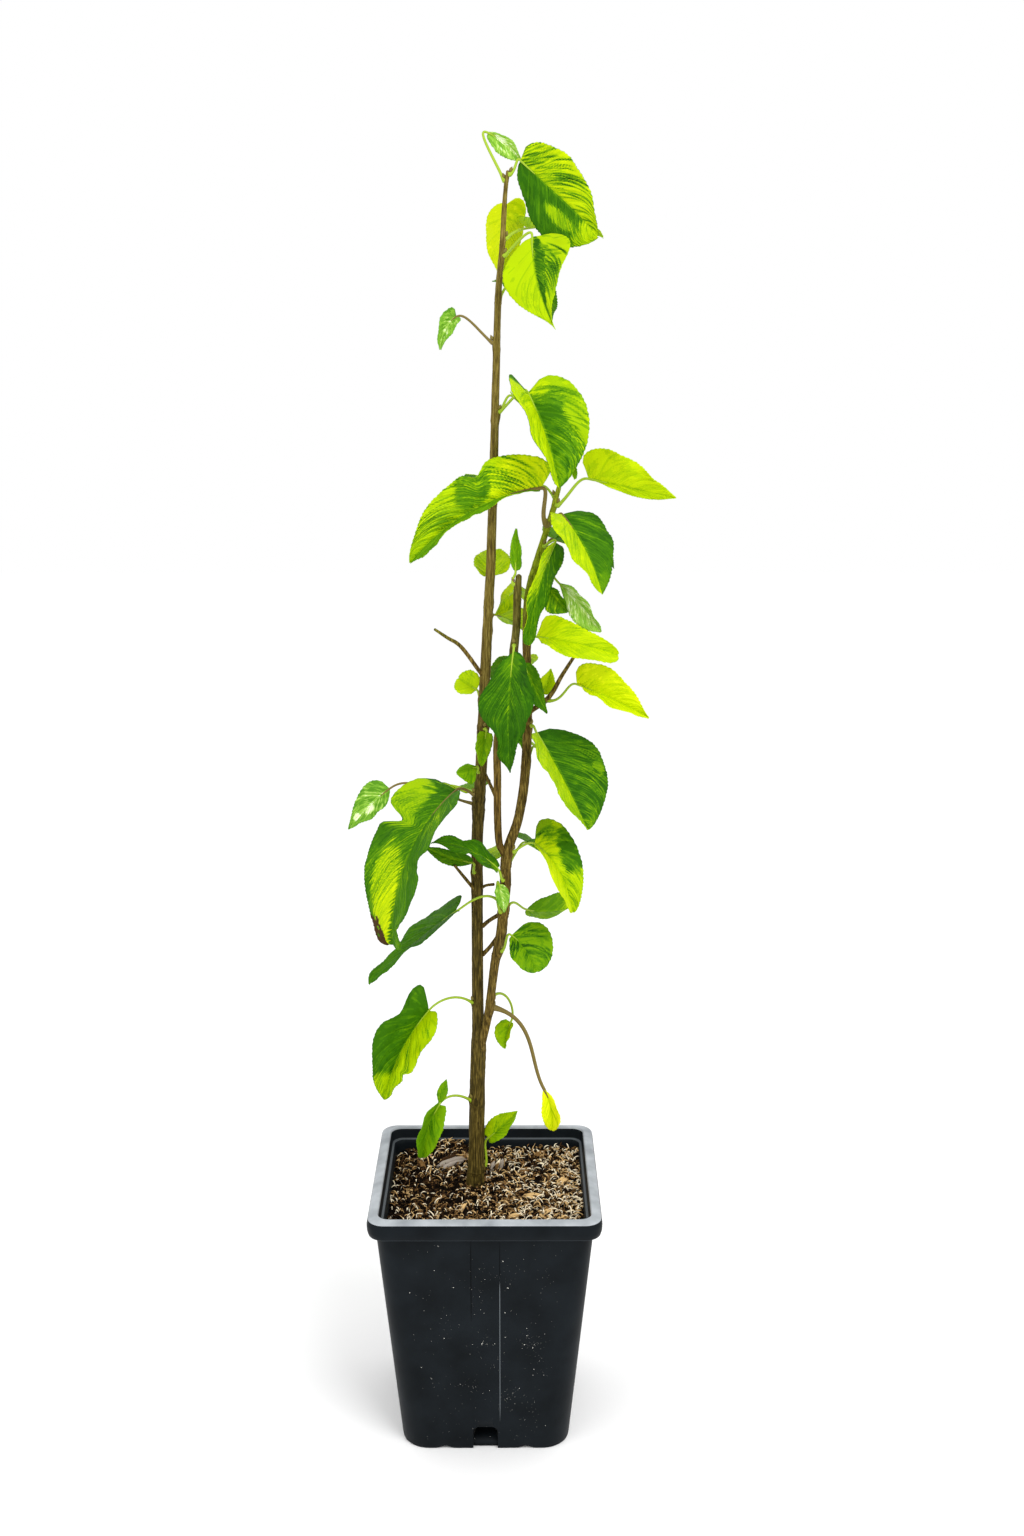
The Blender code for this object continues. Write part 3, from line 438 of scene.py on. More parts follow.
# Leaves: each stalk leaves its limb at a height, on a bearing (0 is +X, 90 is +Y), and meets the blade out
# along the bearing and up. The blade points along its heading, starts at its dip, bends by its sag, is
# rolled about its midrib and folded up along it. Each half has its width and its belly's place.
LEAF_KEYS = ("name limb height bearing reach rise heading length dip sag roll fold "
             "left left_belly right right_belly").split()
LEAVES = [
    ("tip_young", "trunk", 782, 136, 19, 34, 340, 32, -24, -29, 99, 27, 5.5, .6, 8, .53),
    ("top", "trunk", 786, 12, 9, 10, 338, 70, -42, -36, 99, 8, 26, .44, 28, .64),
    ("top_back", "trunk", 761, 88, 20, 7, 98, 58, -70, 11, 11, 47, 21, .44, 21, .28),
    ("top_front", "trunk", 731, 323, 27, 12, 267, 68, -79, 2, 30, 8, 33, .22, 24, .37),
    ("left_small", "trunk", 671, 191, 29, 18, 226, 31, -22, -64, -50, 46, 9, .42, 9, .31),
    ("upper_right", "trunk", 622, 335, 26, 14, 315, 75, -53, -23, 15, 37, 34, .38, 32, .26),
    ("long_left", "second_stem", 540, 234, 9, 27, 212, 125, -3, -42, -50, 39, 8, .6, 28, .36),
    ("right_out", "second_stem", 554, 335, 27, 20, 324, 76, -9, 0, 90, 8, 24, .27, 5, .6),
    ("right_hang", "second_stem", 543, 323, 11, 5, 313, 70, -37, -38, 3, 15, 25, .34, 25, .33),
    ("mid_back", "trunk", 483, 73, 11, 18, 93, 42, 27, -9, -4, 15, 14, .4, 14, .4),
    ("bough_tip", "left_bough", 498, 180, 2, 9, 86, 32, 88, -11, -6, 26, 4.2, .42, 5.4, .31),
    ("mid_fold", "second_stem", 524, 312, 15, 4, 227, 80, -56, -10, -99, 10, 13, .22, 15, .52),
    ("mid_small", "second_stem", 490, 354, 12, 5, 333, 27, -39, -12, 99, 39, 11, .52, 12, .6),
    ("mid_right", "second_stem", 505, 348, 19, -8, 339, 49, -41, -11, 99, 34, 11, .44, 11, .6),
    ("right_bright", "second_stem", 454, 296, 15, 4, 314, 57, 2, -49, 37, 25, 18, .2, 20, .58),
    ("right_low", "right_twig", 410, 336, 25, 14, 334, 62, -16, -7, 46, 47, 21, .32, 19, .6),
    ("between", "left_bough", 491, 116, 8, 0, 120, 33, -23, -29, 72, 36, 9, .3, 9, .4),
    ("left_round", "trunk", 408, 125, 10, 6, 135, 22, 20, -4, -52, 24, 11, .45, 11, .45),
    ("behind_right", "left_bough", 437, 35, 11, 2, 325, 43, -64, 10, 40, 8, 7, .3, 11, .42),
    ("front_long", "left_bough", 453, 267, 10, -3, 255, 93, -61, -43, 24, 9, 24, .41, 25, .5),
    ("back_yellow", "second_stem", 408, 38, 14, 3, 72, 30, 11, 46, 12, 27, 8, .3, 8, .3),
    ("trunk_front", "trunk", 386, 288, 9, -1, 238, 27, -70, -10, -43, 25, 6, .3, 7.5, .32),
    ("trunk_left", "trunk", 352, 247, 7, 5, 225, 22, -5, 1, -76, 22, 11, .58, 5, .6),
    ("right_big", "second_stem", 389, 318, 9, -4, 320, 85, -48, -12, 1, 25, 37, .43, 36, .41),
    ("right_curl", "second_stem", 292, 351, 21, 7, 314, 64, -16, -74, 3, 33, 24, .23, 24, .56),
    ("right_hid", "second_stem", 246, 47, 26, -7, 28, 44, -20, 30, -56, 15, 14, .5, 17, .55),
    ("low_round", "second_stem", 211, 309, 16, 16, 332, 36, -27, -38, 20, 21, 24, .37, 23, .56),
    ("left_big", "trunk", 334, 204, 19, 5, 221, 137, -26, -71, 6, 17, 43, .49, 43, .24),
    ("far_left", "trunk", 326, 168, 71, 9, 193, 46, -35, -16, -43, 22, 14, .4, 14, .27),
    ("across", "second_stem", 270, 244, 13, 11, 181, 58, 49, -39, -15, 8, 19, .42, 13, .45),
    ("across_low", "trunk", 272, 245, 7, 8, 209, 45, 17, 3, -99, 16, 6, .5, 7, .36),
    ("left_edge", "second_stem", 253, 193, 38, -7, 188, 85, -33, -8, 5, 8, 30, .37, 30, .2),
    ("young_front", "second_stem", 244, 244, 8, 24, 305, 23, -65, -12, 14, 24, 6, .4, 6, .41),
    ("low_left", "trunk", 164, 211, 44, 1, 194, 81, -47, -31, -69, 47, 23, .4, 35, .26),
    ("foot_left", "trunk", 81, 221, 39, 6, 218, 45, -47, -41, -71, 47, 12, .47, 15, .51),
    ("foot_shoot", "trunk", 22, 352, 10, 24, 345, 36, 42, 10, 60, 20, 10, .4, 9, .4),
    ("low_yellow", "second_stem", 161, 13, 45, -73, 325, 36, -53, -49, 67, 43, 10, .6, 9, .57),
    ("low_small", "second_stem", 171, 48, 24, -28, 219, 23, -56, -35, -24, 38, 6, .35, 10, .4),
]
# What only some leaves have: lift is the stalk's slope at its foot, heart how far the base lobes reach
# back, blunt and tip how pointed the two ends are, sweep how far the midrib turns to its left, a bay in a
# half's edge is its place, depth and spread, and a leaflet is a second small blade at the stalk's end:
# heading, length, dip and half its width.
LEAF_EXTRAS = {
    "tip_young": {"lift": 60, "heart": .16, "blunt": .64},
    "top": {"heart": .13, "blunt": .5, "tip": .72, "sweep": 44},
    "top_back": {"blunt": 1}, "top_front": {"heart": 0, "blunt": 1.2, "tip": 1.54, "sweep": 33},
    "left_small": {"heart": .14, "blunt": 1}, "upper_right": {"heart": .29, "blunt": .78},
    "long_left": {"heart": .24, "blunt": .64, "right_bays": ((.43, .26, .05),)},
    "right_out": {"blunt": 1}, "right_hang": {"heart": .03, "blunt": .51, "tip": .88, "sweep": 7},
    "mid_back": {"blunt": .6}, "bough_tip": {"lift": 70, "heart": 0, "blunt": .83},
    "mid_fold": {"heart": .07, "blunt": .58, "tip": .45, "sweep": 16}, "mid_right": {"heart": 0, "blunt": .82},
    "mid_small": {"heart": .15, "blunt": .81},
    "right_bright": {"heart": 0, "blunt": 1.2, "tip": .43, "sweep": 57},
    "right_low": {"heart": .23, "blunt": 1, "lift": 0},
    "left_round": {"blunt": .6}, "behind_right": {"heart": 0, "blunt": 1},
    "front_long": {"heart": .03, "blunt": 1, "right_bays": ((.74, .6, .12),), "left_bays": ((.76, .4, .12),)},
    "trunk_front": {"heart": .05, "blunt": .64}, "trunk_left": {"heart": 0, "blunt": .84},
    "right_big": {"heart": 0, "blunt": .67},
    "right_curl": {"heart": .45, "blunt": 1.2, "tip": .65, "sweep": 9},
    "low_round": {"heart": 0, "blunt": .66, "tip": .5, "sweep": -9},
    "left_big": {
        "heart": .05, "blunt": .68, "tip": .35, "sweep": -3,
        "right_bays": ((.31, .5, .035),), "left_bays": ((.5, .4, .06), (.86, .35, .05))},
    "far_left": {"lift": 10, "heart": 0, "blunt": 1},
    "across": {"heart": .19, "blunt": .89, "tip": 1.04, "sweep": 26, "right_bays": ((.55, .4, .1),),
               "left_bays": ((.45, .6, .12),)},
    "across_low": {"heart": 0, "blunt": .81, "sweep": -12},
    "left_edge": {"heart": .22, "blunt": .86, "tip": .62, "sweep": 21},
    "low_left": {"heart": .35, "blunt": .71, "tip": .83, "right_bays": ((.22, .3, .09),),
                 "left_bays": ((.66, .3, .04),)},
    "young_front": {"heart": 0, "blunt": .82},
    "foot_left": {"heart": .25, "blunt": .55, "leaflet": (20, 21, 78, 4)}, "foot_shoot": {"lift": 80},
    "low_yellow": {"lift": -20, "heart": .17, "blunt": .69}, "low_small": {"lift": 10}}
LIFT = 40
HEART = 0.22
BLUNT = 0.9

# The leaves on the far side: the limb, height and bearing of each one's stalk, how far its blade turns
# from the bearing, and its dip. The seed deals out their lengths, widths and rolls.
BACK_SEED = 7
BACK_LEAVES = [
    ("trunk", 743, 36, 0, 9), ("trunk", 703, 64, -2, -6), ("trunk", 620, 52, -40, -40),
    ("trunk", 560, 100, 0, -14), ("trunk", 462, 75, -15, -12), ("trunk", 392, 60, 0, -40),
    ("trunk", 320, 100, 10, 0), ("trunk", 262, 80, 10, 0),
    ("second_stem", 560, 128, 15, -12), ("second_stem", 516, 50, -5, -14), ("second_stem", 478, 72, 15, -14),
    ("second_stem", 424, 100, 10, -28), ("second_stem", 362, 65, -15, -26), ("second_stem", 284, 44, 0, -30)]
BACK_LENGTHS = (56, 78)
BACK_STALK = 20



def leaf_rows():
    """Every leaf as a dictionary: those with a set place, then those of the far side's rule."""
    for row in LEAVES:
        leaf = dict(zip(LEAF_KEYS, row))
        leaf.update(LEAF_EXTRAS.get(leaf["name"], {}))
        yield leaf
    dealt = np.random.default_rng(BACK_SEED)
    for number, (limb, height, bearing, turn, dip) in enumerate(BACK_LEAVES):
        length = dealt.uniform(*BACK_LENGTHS)
        half = length * dealt.uniform(0.27, 0.33)
        yield {
            "name": f"back_{number + 1}", "limb": limb, "height": height, "bearing": bearing,
            "reach": BACK_STALK + dealt.uniform(-4, 5), "rise": dealt.uniform(7, 13),
            "heading": bearing + turn, "length": length, "dip": dip, "sag": dealt.uniform(-26, -12),
            "roll": dealt.uniform(-14, 14), "fold": dealt.uniform(14, 26),
            "left": half, "left_belly": .36, "right": half * dealt.uniform(0.88, 1), "right_belly": .36}


leaves = list(leaf_rows())


def smooth_through(marks, count):
    """A Catmull-Rom curve through the marks, at evenly spread parameters."""
    p = np.array(marks, float)
    slope = np.gradient(p, axis=0)
    t = np.linspace(0, len(p) - 1, count)
    i = np.minimum(t.astype(int), len(p) - 2)
    u = (t - i)[:, None]
    return ((2 * u**3 - 3 * u**2 + 1) * p[i] + (u**3 - 2 * u**2 + u) * slope[i]
            + (3 * u**2 - 2 * u**3) * p[i + 1] + (u**3 - u**2) * slope[i + 1])


def compass(bearing, slope=0.0):
    """The unit vector on a bearing, sloping up, both in degrees."""
    a, e = np.radians(bearing), np.radians(slope)
    return np.array([np.cos(e) * np.cos(a), np.cos(e) * np.sin(a), np.sin(e)])


def limb_line(marks, step):
    """Points and radii up a limb, in millimetres, a step apart."""
    curve = smooth_through(marks, max(5, int((marks[-1][0] - marks[0][0]) / step)))
    return np.stack([curve[:, 1], curve[:, 2], curve[:, 0] + GROUND], axis=1), curve[:, 3]


def on_limb(name, height):
    """The centre, radius and direction of a limb at a height above the soil."""
    path, radii = limb_line(LIMBS[name], 14)
    z = GROUND + height
    way = np.gradient(path, axis=0)
    centre = np.array([np.interp(z, path[:, 2], path[:, k]) for k in range(3)])
    way = np.array([np.interp(z, path[:, 2], way[:, k]) for k in range(3)])
    return centre, np.interp(z, path[:, 2], radii), way / np.linalg.norm(way)


def tube_rings(path, radii, sides):
    """Rings round a path: the centre plus the radius along two directions at right angles to the path.

    radii is one number a ring, or one for each ring and side.
    """
    way = np.gradient(path, axis=0)
    way /= np.linalg.norm(way, axis=1)[:, None]
    steady = np.array([0.0, 0.0, 1.0]) if abs(way[:, 2]).max() < 0.8 else np.array([0.0, 1.0, 0.0])
    first = np.cross(steady, way)
    first /= np.linalg.norm(first, axis=1)[:, None]
    second = np.cross(way, first)
    turn = np.linspace(0, 2 * pi, sides, endpoint=False)
    radii = np.broadcast_to(np.asarray(radii, float).reshape(len(path), -1), (len(path), sides))
    around = np.cos(turn)[None, :, None] * first[:, None] + np.sin(turn)[None, :, None] * second[:, None]
    return path[:, None] + radii[..., None] * around


def closed_tube(rings):
    """The points and faces of a tube of rings: quads round it and one face over each end."""
    levels, sides = rings.shape[:2]
    ends = np.stack([np.arange(sides)[::-1], (levels - 1) * sides + np.arange(sides)])
    return rings.reshape(-1, 3), [ring_quads(levels, sides), ends]


def bark_radii(path, radii, sides, seed, feet):
    """The limb's radius with its relief: ridges are sine waves round it whose phases drift up the limb, and
    each leaf's foot adds a bell-shaped swelling on its side, with a thin ring scar below it."""
    dealt = np.random.default_rng(seed)
    z = path[:, 2][:, None]
    turn = np.linspace(0, 2 * pi, sides, endpoint=False)[None]
    relief = np.zeros((len(path), sides))
    for waves, depth in ((3, 0.05), (5, 0.045), (8, 0.035), (12, 0.03), (17, 0.025)):
        phase = dealt.uniform(0, 2 * pi)
        drift = 0.9 * np.sin(z / dealt.uniform(14, 30) + phase) + 0.6 * np.sin(z / dealt.uniform(5, 9))
        fade = 0.5 + 0.5 * np.sin(z / dealt.uniform(20, 45) + dealt.uniform(0, 6))
        relief += depth * fade * np.sin(waves * turn + phase + drift)
    relief += 0.02 * np.sin(z / 1.1 + 2 * np.sin(3 * turn)) * (np.sin(z / 9 + turn) > 0.3)
    for height, bearing in feet:
        near = z - GROUND - height
        side = 0.5 + 0.5 * np.cos(turn - np.radians(bearing))
        relief += 0.3 * np.exp(-((near + 1) / 3.2) ** 2) * side ** 2
        relief += 0.09 * np.exp(-((near + 4.5) / 0.7) ** 2) + 0.05 * np.exp(-((near + 6.5) / 0.5) ** 2)
    return radii[:, None] * (1 + relief)


def bark_finish(name, low, high, change, scale=900):
    """Bark: streaks from a noise drawn out up the stem, from one set of colours below to another above.

    low and high are three colours each, for the streaks' furrows, body and crests; change is the pair of
    heights in metres between which one gives way to the other.
    """
    new = plain(name, low[1], 0.78, 0.1)
    nodes, links = new.node_tree.nodes, new.node_tree.links
    place = nodes.new("ShaderNodeTexCoord")
    drawn = nodes.new("ShaderNodeMapping")
    drawn.inputs["Scale"].default_value = (1, 1, 0.09)
    noise = nodes.new("ShaderNodeTexNoise")
    noise.inputs["Scale"].default_value = scale
    noise.inputs["Detail"].default_value = 5
    noise.inputs["Roughness"].default_value = 0.65
    links.new(place.outputs["Object"], drawn.inputs["Vector"])
    links.new(drawn.outputs["Vector"], noise.inputs["Vector"])
    ramps = []
    for colours in (low, high):
        ramp = nodes.new("ShaderNodeValToRGB")
        ramp.color_ramp.elements.new(0.5)
        for element, stop, colour in zip(ramp.color_ramp.elements, (0.34, 0.5, 0.66), colours):
            element.position = stop
            element.color = (*[((c / 255 + 0.055) / 1.055) ** 2.4 for c in colour], 1)
        links.new(noise.outputs["Fac"], ramp.inputs["Fac"])
        ramps.append(ramp)
    split = nodes.new("ShaderNodeSeparateXYZ")
    share = nodes.new("ShaderNodeMapRange")
    share.inputs["From Min"].default_value = change[0]
    share.inputs["From Max"].default_value = change[1]
    blend = nodes.new("ShaderNodeMix")
    blend.data_type = "RGBA"
    links.new(place.outputs["Object"], split.inputs["Vector"])
    links.new(split.outputs["Z"], share.inputs["Value"])
    links.new(share.outputs["Result"], blend.inputs[0])
    links.new(ramps[0].outputs["Color"], blend.inputs[6])
    links.new(ramps[1].outputs["Color"], blend.inputs[7])
    links.new(blend.outputs[2], nodes["Principled BSDF"].inputs["Base Color"])
    return new


old_bark = ((34, 27, 6), (72, 60, 20), (120, 102, 46))
BARKS = {
    "trunk": bark_finish("trunk bark", old_bark, ((62, 48, 20), (104, 90, 34), (140, 124, 64)), (0.50, 0.66)),
    "second_stem": bark_finish("second stem bark", ((40, 30, 8), (92, 74, 28), (142, 120, 58)),
                               ((84, 92, 14), (128, 140, 22), (150, 166, 40)), (0.63, 0.69)),
    "left_bough": bark_finish("bough bark", ((42, 30, 8), (94, 72, 28), (140, 114, 54)),
                              ((48, 44, 14), (86, 80, 28), (122, 114, 52)), (0.52, 0.62))}
BARKS["bare_twig"] = BARKS["right_twig"] = BARKS["fork_twig"] = BARKS["second_stem"]
for number, (name, marks) in enumerate(LIMBS.items()):
    path, radii = limb_line(marks, RING_STEP)
    if name == "trunk":
        path[0, 2] -= 4
    else:
        away = path[0] - path[2]
        path = np.concatenate([path[:1] + away / np.linalg.norm(away) * 3.5, path])
        radii = np.concatenate([radii[:1] * 1.1, radii])
    sides = LIMB_SIDES.get(name, 18)
    feet = [(leaf["height"], leaf["bearing"]) for leaf in leaves if leaf["limb"] == name]
    thick = bark_radii(path, radii, sides, 31 + number, feet)
    tip = path[-1] + (path[-1] - path[-2]) / np.linalg.norm(path[-1] - path[-2]) * radii[-1] * 0.7
    path = np.concatenate([path, [(path[-1] + tip) / 2, tip]])
    thick = np.concatenate([thick, thick[-1:] * 0.8, thick[-1:] * 0.3])
    parts = [closed_tube(tube_rings(path, thick, sides))]
    if name == "second_stem":
        for seed, marks in enumerate(CROSS_TWIGS):
            line, width = limb_line(marks, 0.8)
            parts.append(closed_tube(tube_rings(line, bark_radii(line, width, 14, 51 + seed, []), 14)))
    shift = np.cumsum([0] + [len(p) for p, _ in parts])
    limb = add_mesh(name + "_bark", np.concatenate([p for p, _ in parts]),
                    [face + s for s, (_, faces) in zip(shift, parts) for face in faces], [BARKS[name]])
    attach(limb, "root")
    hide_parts(name)

# Leaf stalks: slim round petioles, grooved and a little thicker at the foot, green or flushed with brown. A
# bud sits in the angle above each foot. All of them are joined into one piece.
STALK_RADIUS = (1.1, 0.8)
STALK_SINK = 0.22
THICK_STALKS = {"long_left": 1.6, "low_yellow": 1.6, "left_big": 1.2, "right_out": 1.2}
BROWN_STALKS = {"left_small", "long_left", "low_yellow", "right_hang", "far_left", "left_big"}
STALK_FINISHES = [plain("green stalk", (150, 178, 34), 0.5, 0.3), plain("brown stalk", (116, 100, 44), 0.6, 0.3),
                  plain("bud", (120, 108, 52), 0.7, 0.2)]


def stalk_line(leaf, count):
    """The stalk's line: a cubic Bezier curve from the limb's surface to the blade's base."""
    centre, radius, way = on_limb(leaf["limb"], leaf["height"])
    out = compass(leaf["bearing"])
    lift = leaf.get("lift", LIFT)
    lean = abs(out @ way)
    edge = STALK_RADIUS[0] * (abs(np.sin(np.radians(lift))) + lean)
    start = centre + ((radius + 0.3) / np.sqrt(1 - lean**2) + edge) * out
    end = centre + leaf["reach"] * out + np.array([0, 0, leaf["rise"]])
    span = np.linalg.norm(end - start)
    first = start + 0.45 * span * compass(leaf["bearing"], lift)
    second = end - 0.3 * span * compass(leaf["heading"], leaf["dip"])
    t = np.linspace(0, 1, count)[:, None]
    return (1 - t)**3 * start + 3 * t * (1 - t)**2 * first + 3 * t * t * (1 - t) * second + t**3 * end


def midrib(u, base, leaf):
    """Points and directions along the midrib, and the directions to its left and above it.

    It is an arc from the dip to the dip plus the sag, which also turns to its left by the sweep.
    """
    start, bend = np.radians(leaf["dip"]), np.radians(leaf["sag"]) + 1e-6
    slope = (start + bend * u)[..., None]
    flat, up = compass(leaf["heading"]), np.array([0, 0, 1.0])
    level = np.array([-flat[1], flat[0], 0.0])
    arc = ((np.sin(slope) - np.sin(start)) * flat + (np.cos(start) - np.cos(slope)) * up) / bend
    along = np.cos(slope) * flat + np.sin(slope) * up
    face = np.cross(along, level)
    roll = np.radians(leaf["roll"])
    aside = np.cos(roll) * level + np.sin(roll) * face
    above = np.cos(roll) * face - np.sin(roll) * level
    turn = np.radians(leaf.get("sweep", 0)) * u[..., None]
    points = base + leaf["length"] * (arc + turn * u[..., None] / 2 * aside)
    return points, np.cos(turn) * along + np.sin(turn) * aside, np.cos(turn) * aside - np.sin(turn) * along, above


parts, picks = [], []
for leaf in leaves:
    line = stalk_line(leaf, 22)
    centre, radius, way = on_limb(leaf["limb"], leaf["height"])
    root = line[0] + (centre - line[0]) * min(0.9, 2.2 / np.linalg.norm(centre - line[0]))
    sink = midrib(np.linspace(0, STALK_SINK, 5)[1:], line[-1], leaf)[0]
    line = np.concatenate([[root], line, sink])
    t = np.linspace(0, 1, len(line))
    width = STALK_RADIUS[0] + (STALK_RADIUS[1] - STALK_RADIUS[0]) * t + 0.75 * np.exp(-(t / 0.07) ** 2)
    width *= THICK_STALKS.get(leaf["name"], 1)
    width[-4:] *= [0.95, 0.8, 0.6, 0.4]
    groove = 1 - 0.12 * np.exp(-((np.linspace(0, 2 * pi, 12, endpoint=False) - pi / 2) / 0.5) ** 2)
    points, faces = closed_tube(tube_rings(line, width[:, None] * groove, 12))
    brown = leaf["name"] in BROWN_STALKS or leaf["name"].startswith("back") and leaf["height"] % 3 == 0
    parts.append((points, faces))
    picks.append([np.full(len(f), int(brown)) for f in faces])
    bud = line[1] * 0.8 + centre * 0.2 + (0, 0, 1.6)
    grow = compass(leaf["bearing"], 66)
    b = np.linspace(0, 1, 8)
    points, faces = closed_tube(tube_rings(bud + b[:, None] * grow * 4.2,
                                           1.25 * np.sin(pi * np.clip(b ** 0.75, 0.02, 0.985)) + 0.05, 10))
    parts.append((points, faces))
    picks.append([np.full(len(f), 2) for f in faces])
shift = np.cumsum([0] + [len(p) for p, _ in parts])
stalks = add_mesh("stalks_and_buds", np.concatenate([p for p, _ in parts]),
                  [face + s for s, (_, faces) in zip(shift, parts) for face in faces],
                  STALK_FINISHES, [p for pick in picks for p in pick])
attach(stalks, "root")

# Leaf blades: thin, with a toothed edge, a sunken midrib and side veins, and the quilted surface between
# them. The sun shines through some halves and leaves others in shade, and this light and shade is painted: each
# blade's faces are shared out among plain greens, with a painted tone for each half, softly edged patches of
# painted light and shadow, and strokes of painted shade and light that run with the side veins.
# Sunny greens run from 0, the deepest shade, to 7, the brightest light; pale ones, of young leaves, from 0 to 3.
SUNNY = [(24, 66, 2), (42, 92, 4), (64, 116, 4), (94, 142, 4), (130, 170, 2), (166, 196, 0), (200, 218, 2),
         (236, 242, 24)]
PALE = [(84, 138, 30), (130, 178, 56), (176, 206, 104), (232, 242, 206)]
SCORCHED = (70, 50, 26)
# Where a leaf's edge is scorched brown: place along, place across, and the two half sizes.
SCORCH = {"left_big": (0.95, -0.9, 0.09, 0.4)}
BLADE_THICK = 0.35
TOOTH_PITCH = 3.1
TOOTH_DEPTH = 0.9
VEIN_SLANT = 0.36
VEIN_SPACE = 8.5
STROKES_PER_AREA = 0.05
STROKE_WIDTHS = (0.3, 0.8)
# Each leaf's look: the family, the tones of the left and right halves, bright with painted sunlight shining through or
# dark with painted shade, how strong each half's strokes are, and patches of painted light and shadow, each with its
# tone, place along the blade, place across it (left is positive), half sizes.
LOOKS = {
    "tip_young": ("pale", 1.1, 0.7, 1.1, .9, [(2.7, .35, .3, .16, .4)]),
    "top": ("sunny", 5.4, 1.2, 1.5, .8, [(4.6, .66, -.4, .17, .16), (5.2, .95, -.2, .12, .9)]),
    "top_back": ("sunny", 6.1, 6.1, .25, .25, []),
    "top_front": ("sunny", 5.0, 5.0, 1.3, .2, [(1.1, .5, .18, .6, .15)]),
    "left_small": ("pale", .5, .35, 1.0, .8, []),
    "upper_right": ("sunny", 1.5, 5.2, 1.1, .6, [(5.2, .03, .7, .14, .7), (4.6, .4, .9, .34, .36), (1.4, .0, -.8, .07, .7),
                                                (3.4, .85, .3, .14, .4)]),
    "long_left": ("sunny", 2.8, 4.8, .6, 1.2, [(5.9, .14, -.45, .24, .55), (2.0, .46, -.5, .1, .5)]),
    "right_out": ("sunny", 5.4, 5.2, .3, .3, []),
    "right_hang": ("sunny", 1.3, 5.2, .8, .4, [(2.6, .9, .5, .12, .5)]),
    "mid_back": ("sunny", 5.2, 5.2, .4, .4, []), "bough_tip": ("sunny", 3.2, 2.6, .9, .9, []),
    "mid_fold": ("sunny", 1.6, 5.2, 1.0, .8, [(1.8, .9, 0, .36, 1.4)]),
    "mid_right": ("pale", 1.1, 1.0, 1.0, .9, [(1.9, .2, .3, .2, .5)]), "mid_small": ("sunny", 2.0, 2.2, 1.3, 1.3, []),
    "right_bright": ("sunny", 5.5, 5.3, .4, .3, []), "right_low": ("sunny", 6.2, 5.9, .3, .3, []),
    "between": ("sunny", 5.2, 5.0, .5, .5, []), "left_round": ("sunny", 5.2, 5.0, .3, .3, []),
    "behind_right": ("sunny", 2.2, 1.4, .5, .5, []),
    "front_long": ("sunny", 0.8, 1.0, .8, .9, [(2.2, .08, 0, .14, .8)]),
    "back_yellow": ("sunny", 5.4, 5.2, .3, .3, []), "trunk_front": ("sunny", 3.6, 3.4, .4, .4, []),
    "trunk_left": ("sunny", 3.4, 3.1, .4, .4, []),
    "right_big": ("sunny", 1.1, 4.8, 1.0, .5, [(3.2, .52, .85, .07, .14), (2.0, .97, .3, .08, .6)]),
    "right_curl": ("sunny", 5.2, 5.6, .8, .4, [(3.9, .05, .4, .14, .7), (1.6, .4, .7, .18, .5), (5.6, .2, -.1, .3, .5)]),
    "right_hid": ("sunny", 3.4, 2.6, .4, .4, [(4.6, .95, 0, .2, 1)]), "low_round": ("sunny", 3.4, 3.5, 1.7, 1.7, [(1.8, .08, .4, .1, .5)]),
    "left_big": ("sunny", 1.6, 1.2, 1.0, .9, [(4.6, .2, -.75, .16, .42), (5.8, .72, -.42, .27, .42),
                                             (1.6, .52, -1, .13, .2)]),
    "far_left": ("pale", 0.2, 0.2, 1.1, 1.1, [(2.5, .5, .3, .1, .3), (2.6, .75, -.2, .07, .4)]),
    "across": ("sunny", 1.5, 1.3, .7, .7, [(3.0, .08, .3, .08, .7)]),
    "across_low": ("sunny", 2.2, 1.8, .6, .6, []), "left_edge": ("sunny", 1.6, 1.8, .15, .15, []),
    "young_front": ("pale", 0.7, 0.4, 1.0, 1.0, []),
    "low_left": ("sunny", 5.1, 1.4, .9, .8, [(5.3, .88, -.4, .16, .7)]),
    "foot_left": ("sunny", 3.5, 3.1, .8, .8, []), "foot_shoot": ("sunny", 4.7, 4.1, .8, .8, []),
    "low_yellow": ("sunny", 6.9, 6.7, .5, .5, []), "low_small": ("sunny", 4.8, 4.2, .5, .5, [])}
BACK_LOOKS = [("sunny", 5.1, 3.0, .6, .4, []), ("sunny", 2.1, 4.9, .4, .6, []), ("sunny", 4.6, 4.9, .5, .5, []),
              ("sunny", 2.4, 2.0, .4, .4, [])]


def half_steps(colours):
    """The colours with one more between each two."""
    stops = np.arange(0, len(colours) - 0.75, 0.5)
    return np.stack([np.interp(stops, range(len(colours)), np.array(colours)[:, k]) for k in range(3)], 1)


BLADE_FINISHES = []
for family, colours in (("sunny", half_steps(SUNNY)), ("pale", half_steps(PALE)), ("scorched", [SCORCHED])):
    BLADE_FINISHES += [plain(f"{family} leaf {n}", colour, 0.6, 0.05) for n, colour in enumerate(colours)]
FIRST_PALE = 2 * len(SUNNY) - 1
BROWN = len(BLADE_FINISHES) - 1


def half_width(u, leaf, side):
    """The outline of one half: a sine arch whose top lies at the belly, with its bays cut in."""
    power = np.log(0.5) / np.log(leaf[side + "_belly"])
    blunt = leaf.get("blunt", BLUNT)
    width = leaf[side] * np.sin(pi * u**power)**(blunt + u * (leaf.get("tip", blunt) - blunt))
    for place, depth, spread in leaf.get(side + "_bays", ()):
        width = width * (1 - depth * np.exp(-((u - place) / spread)**2))
    return width


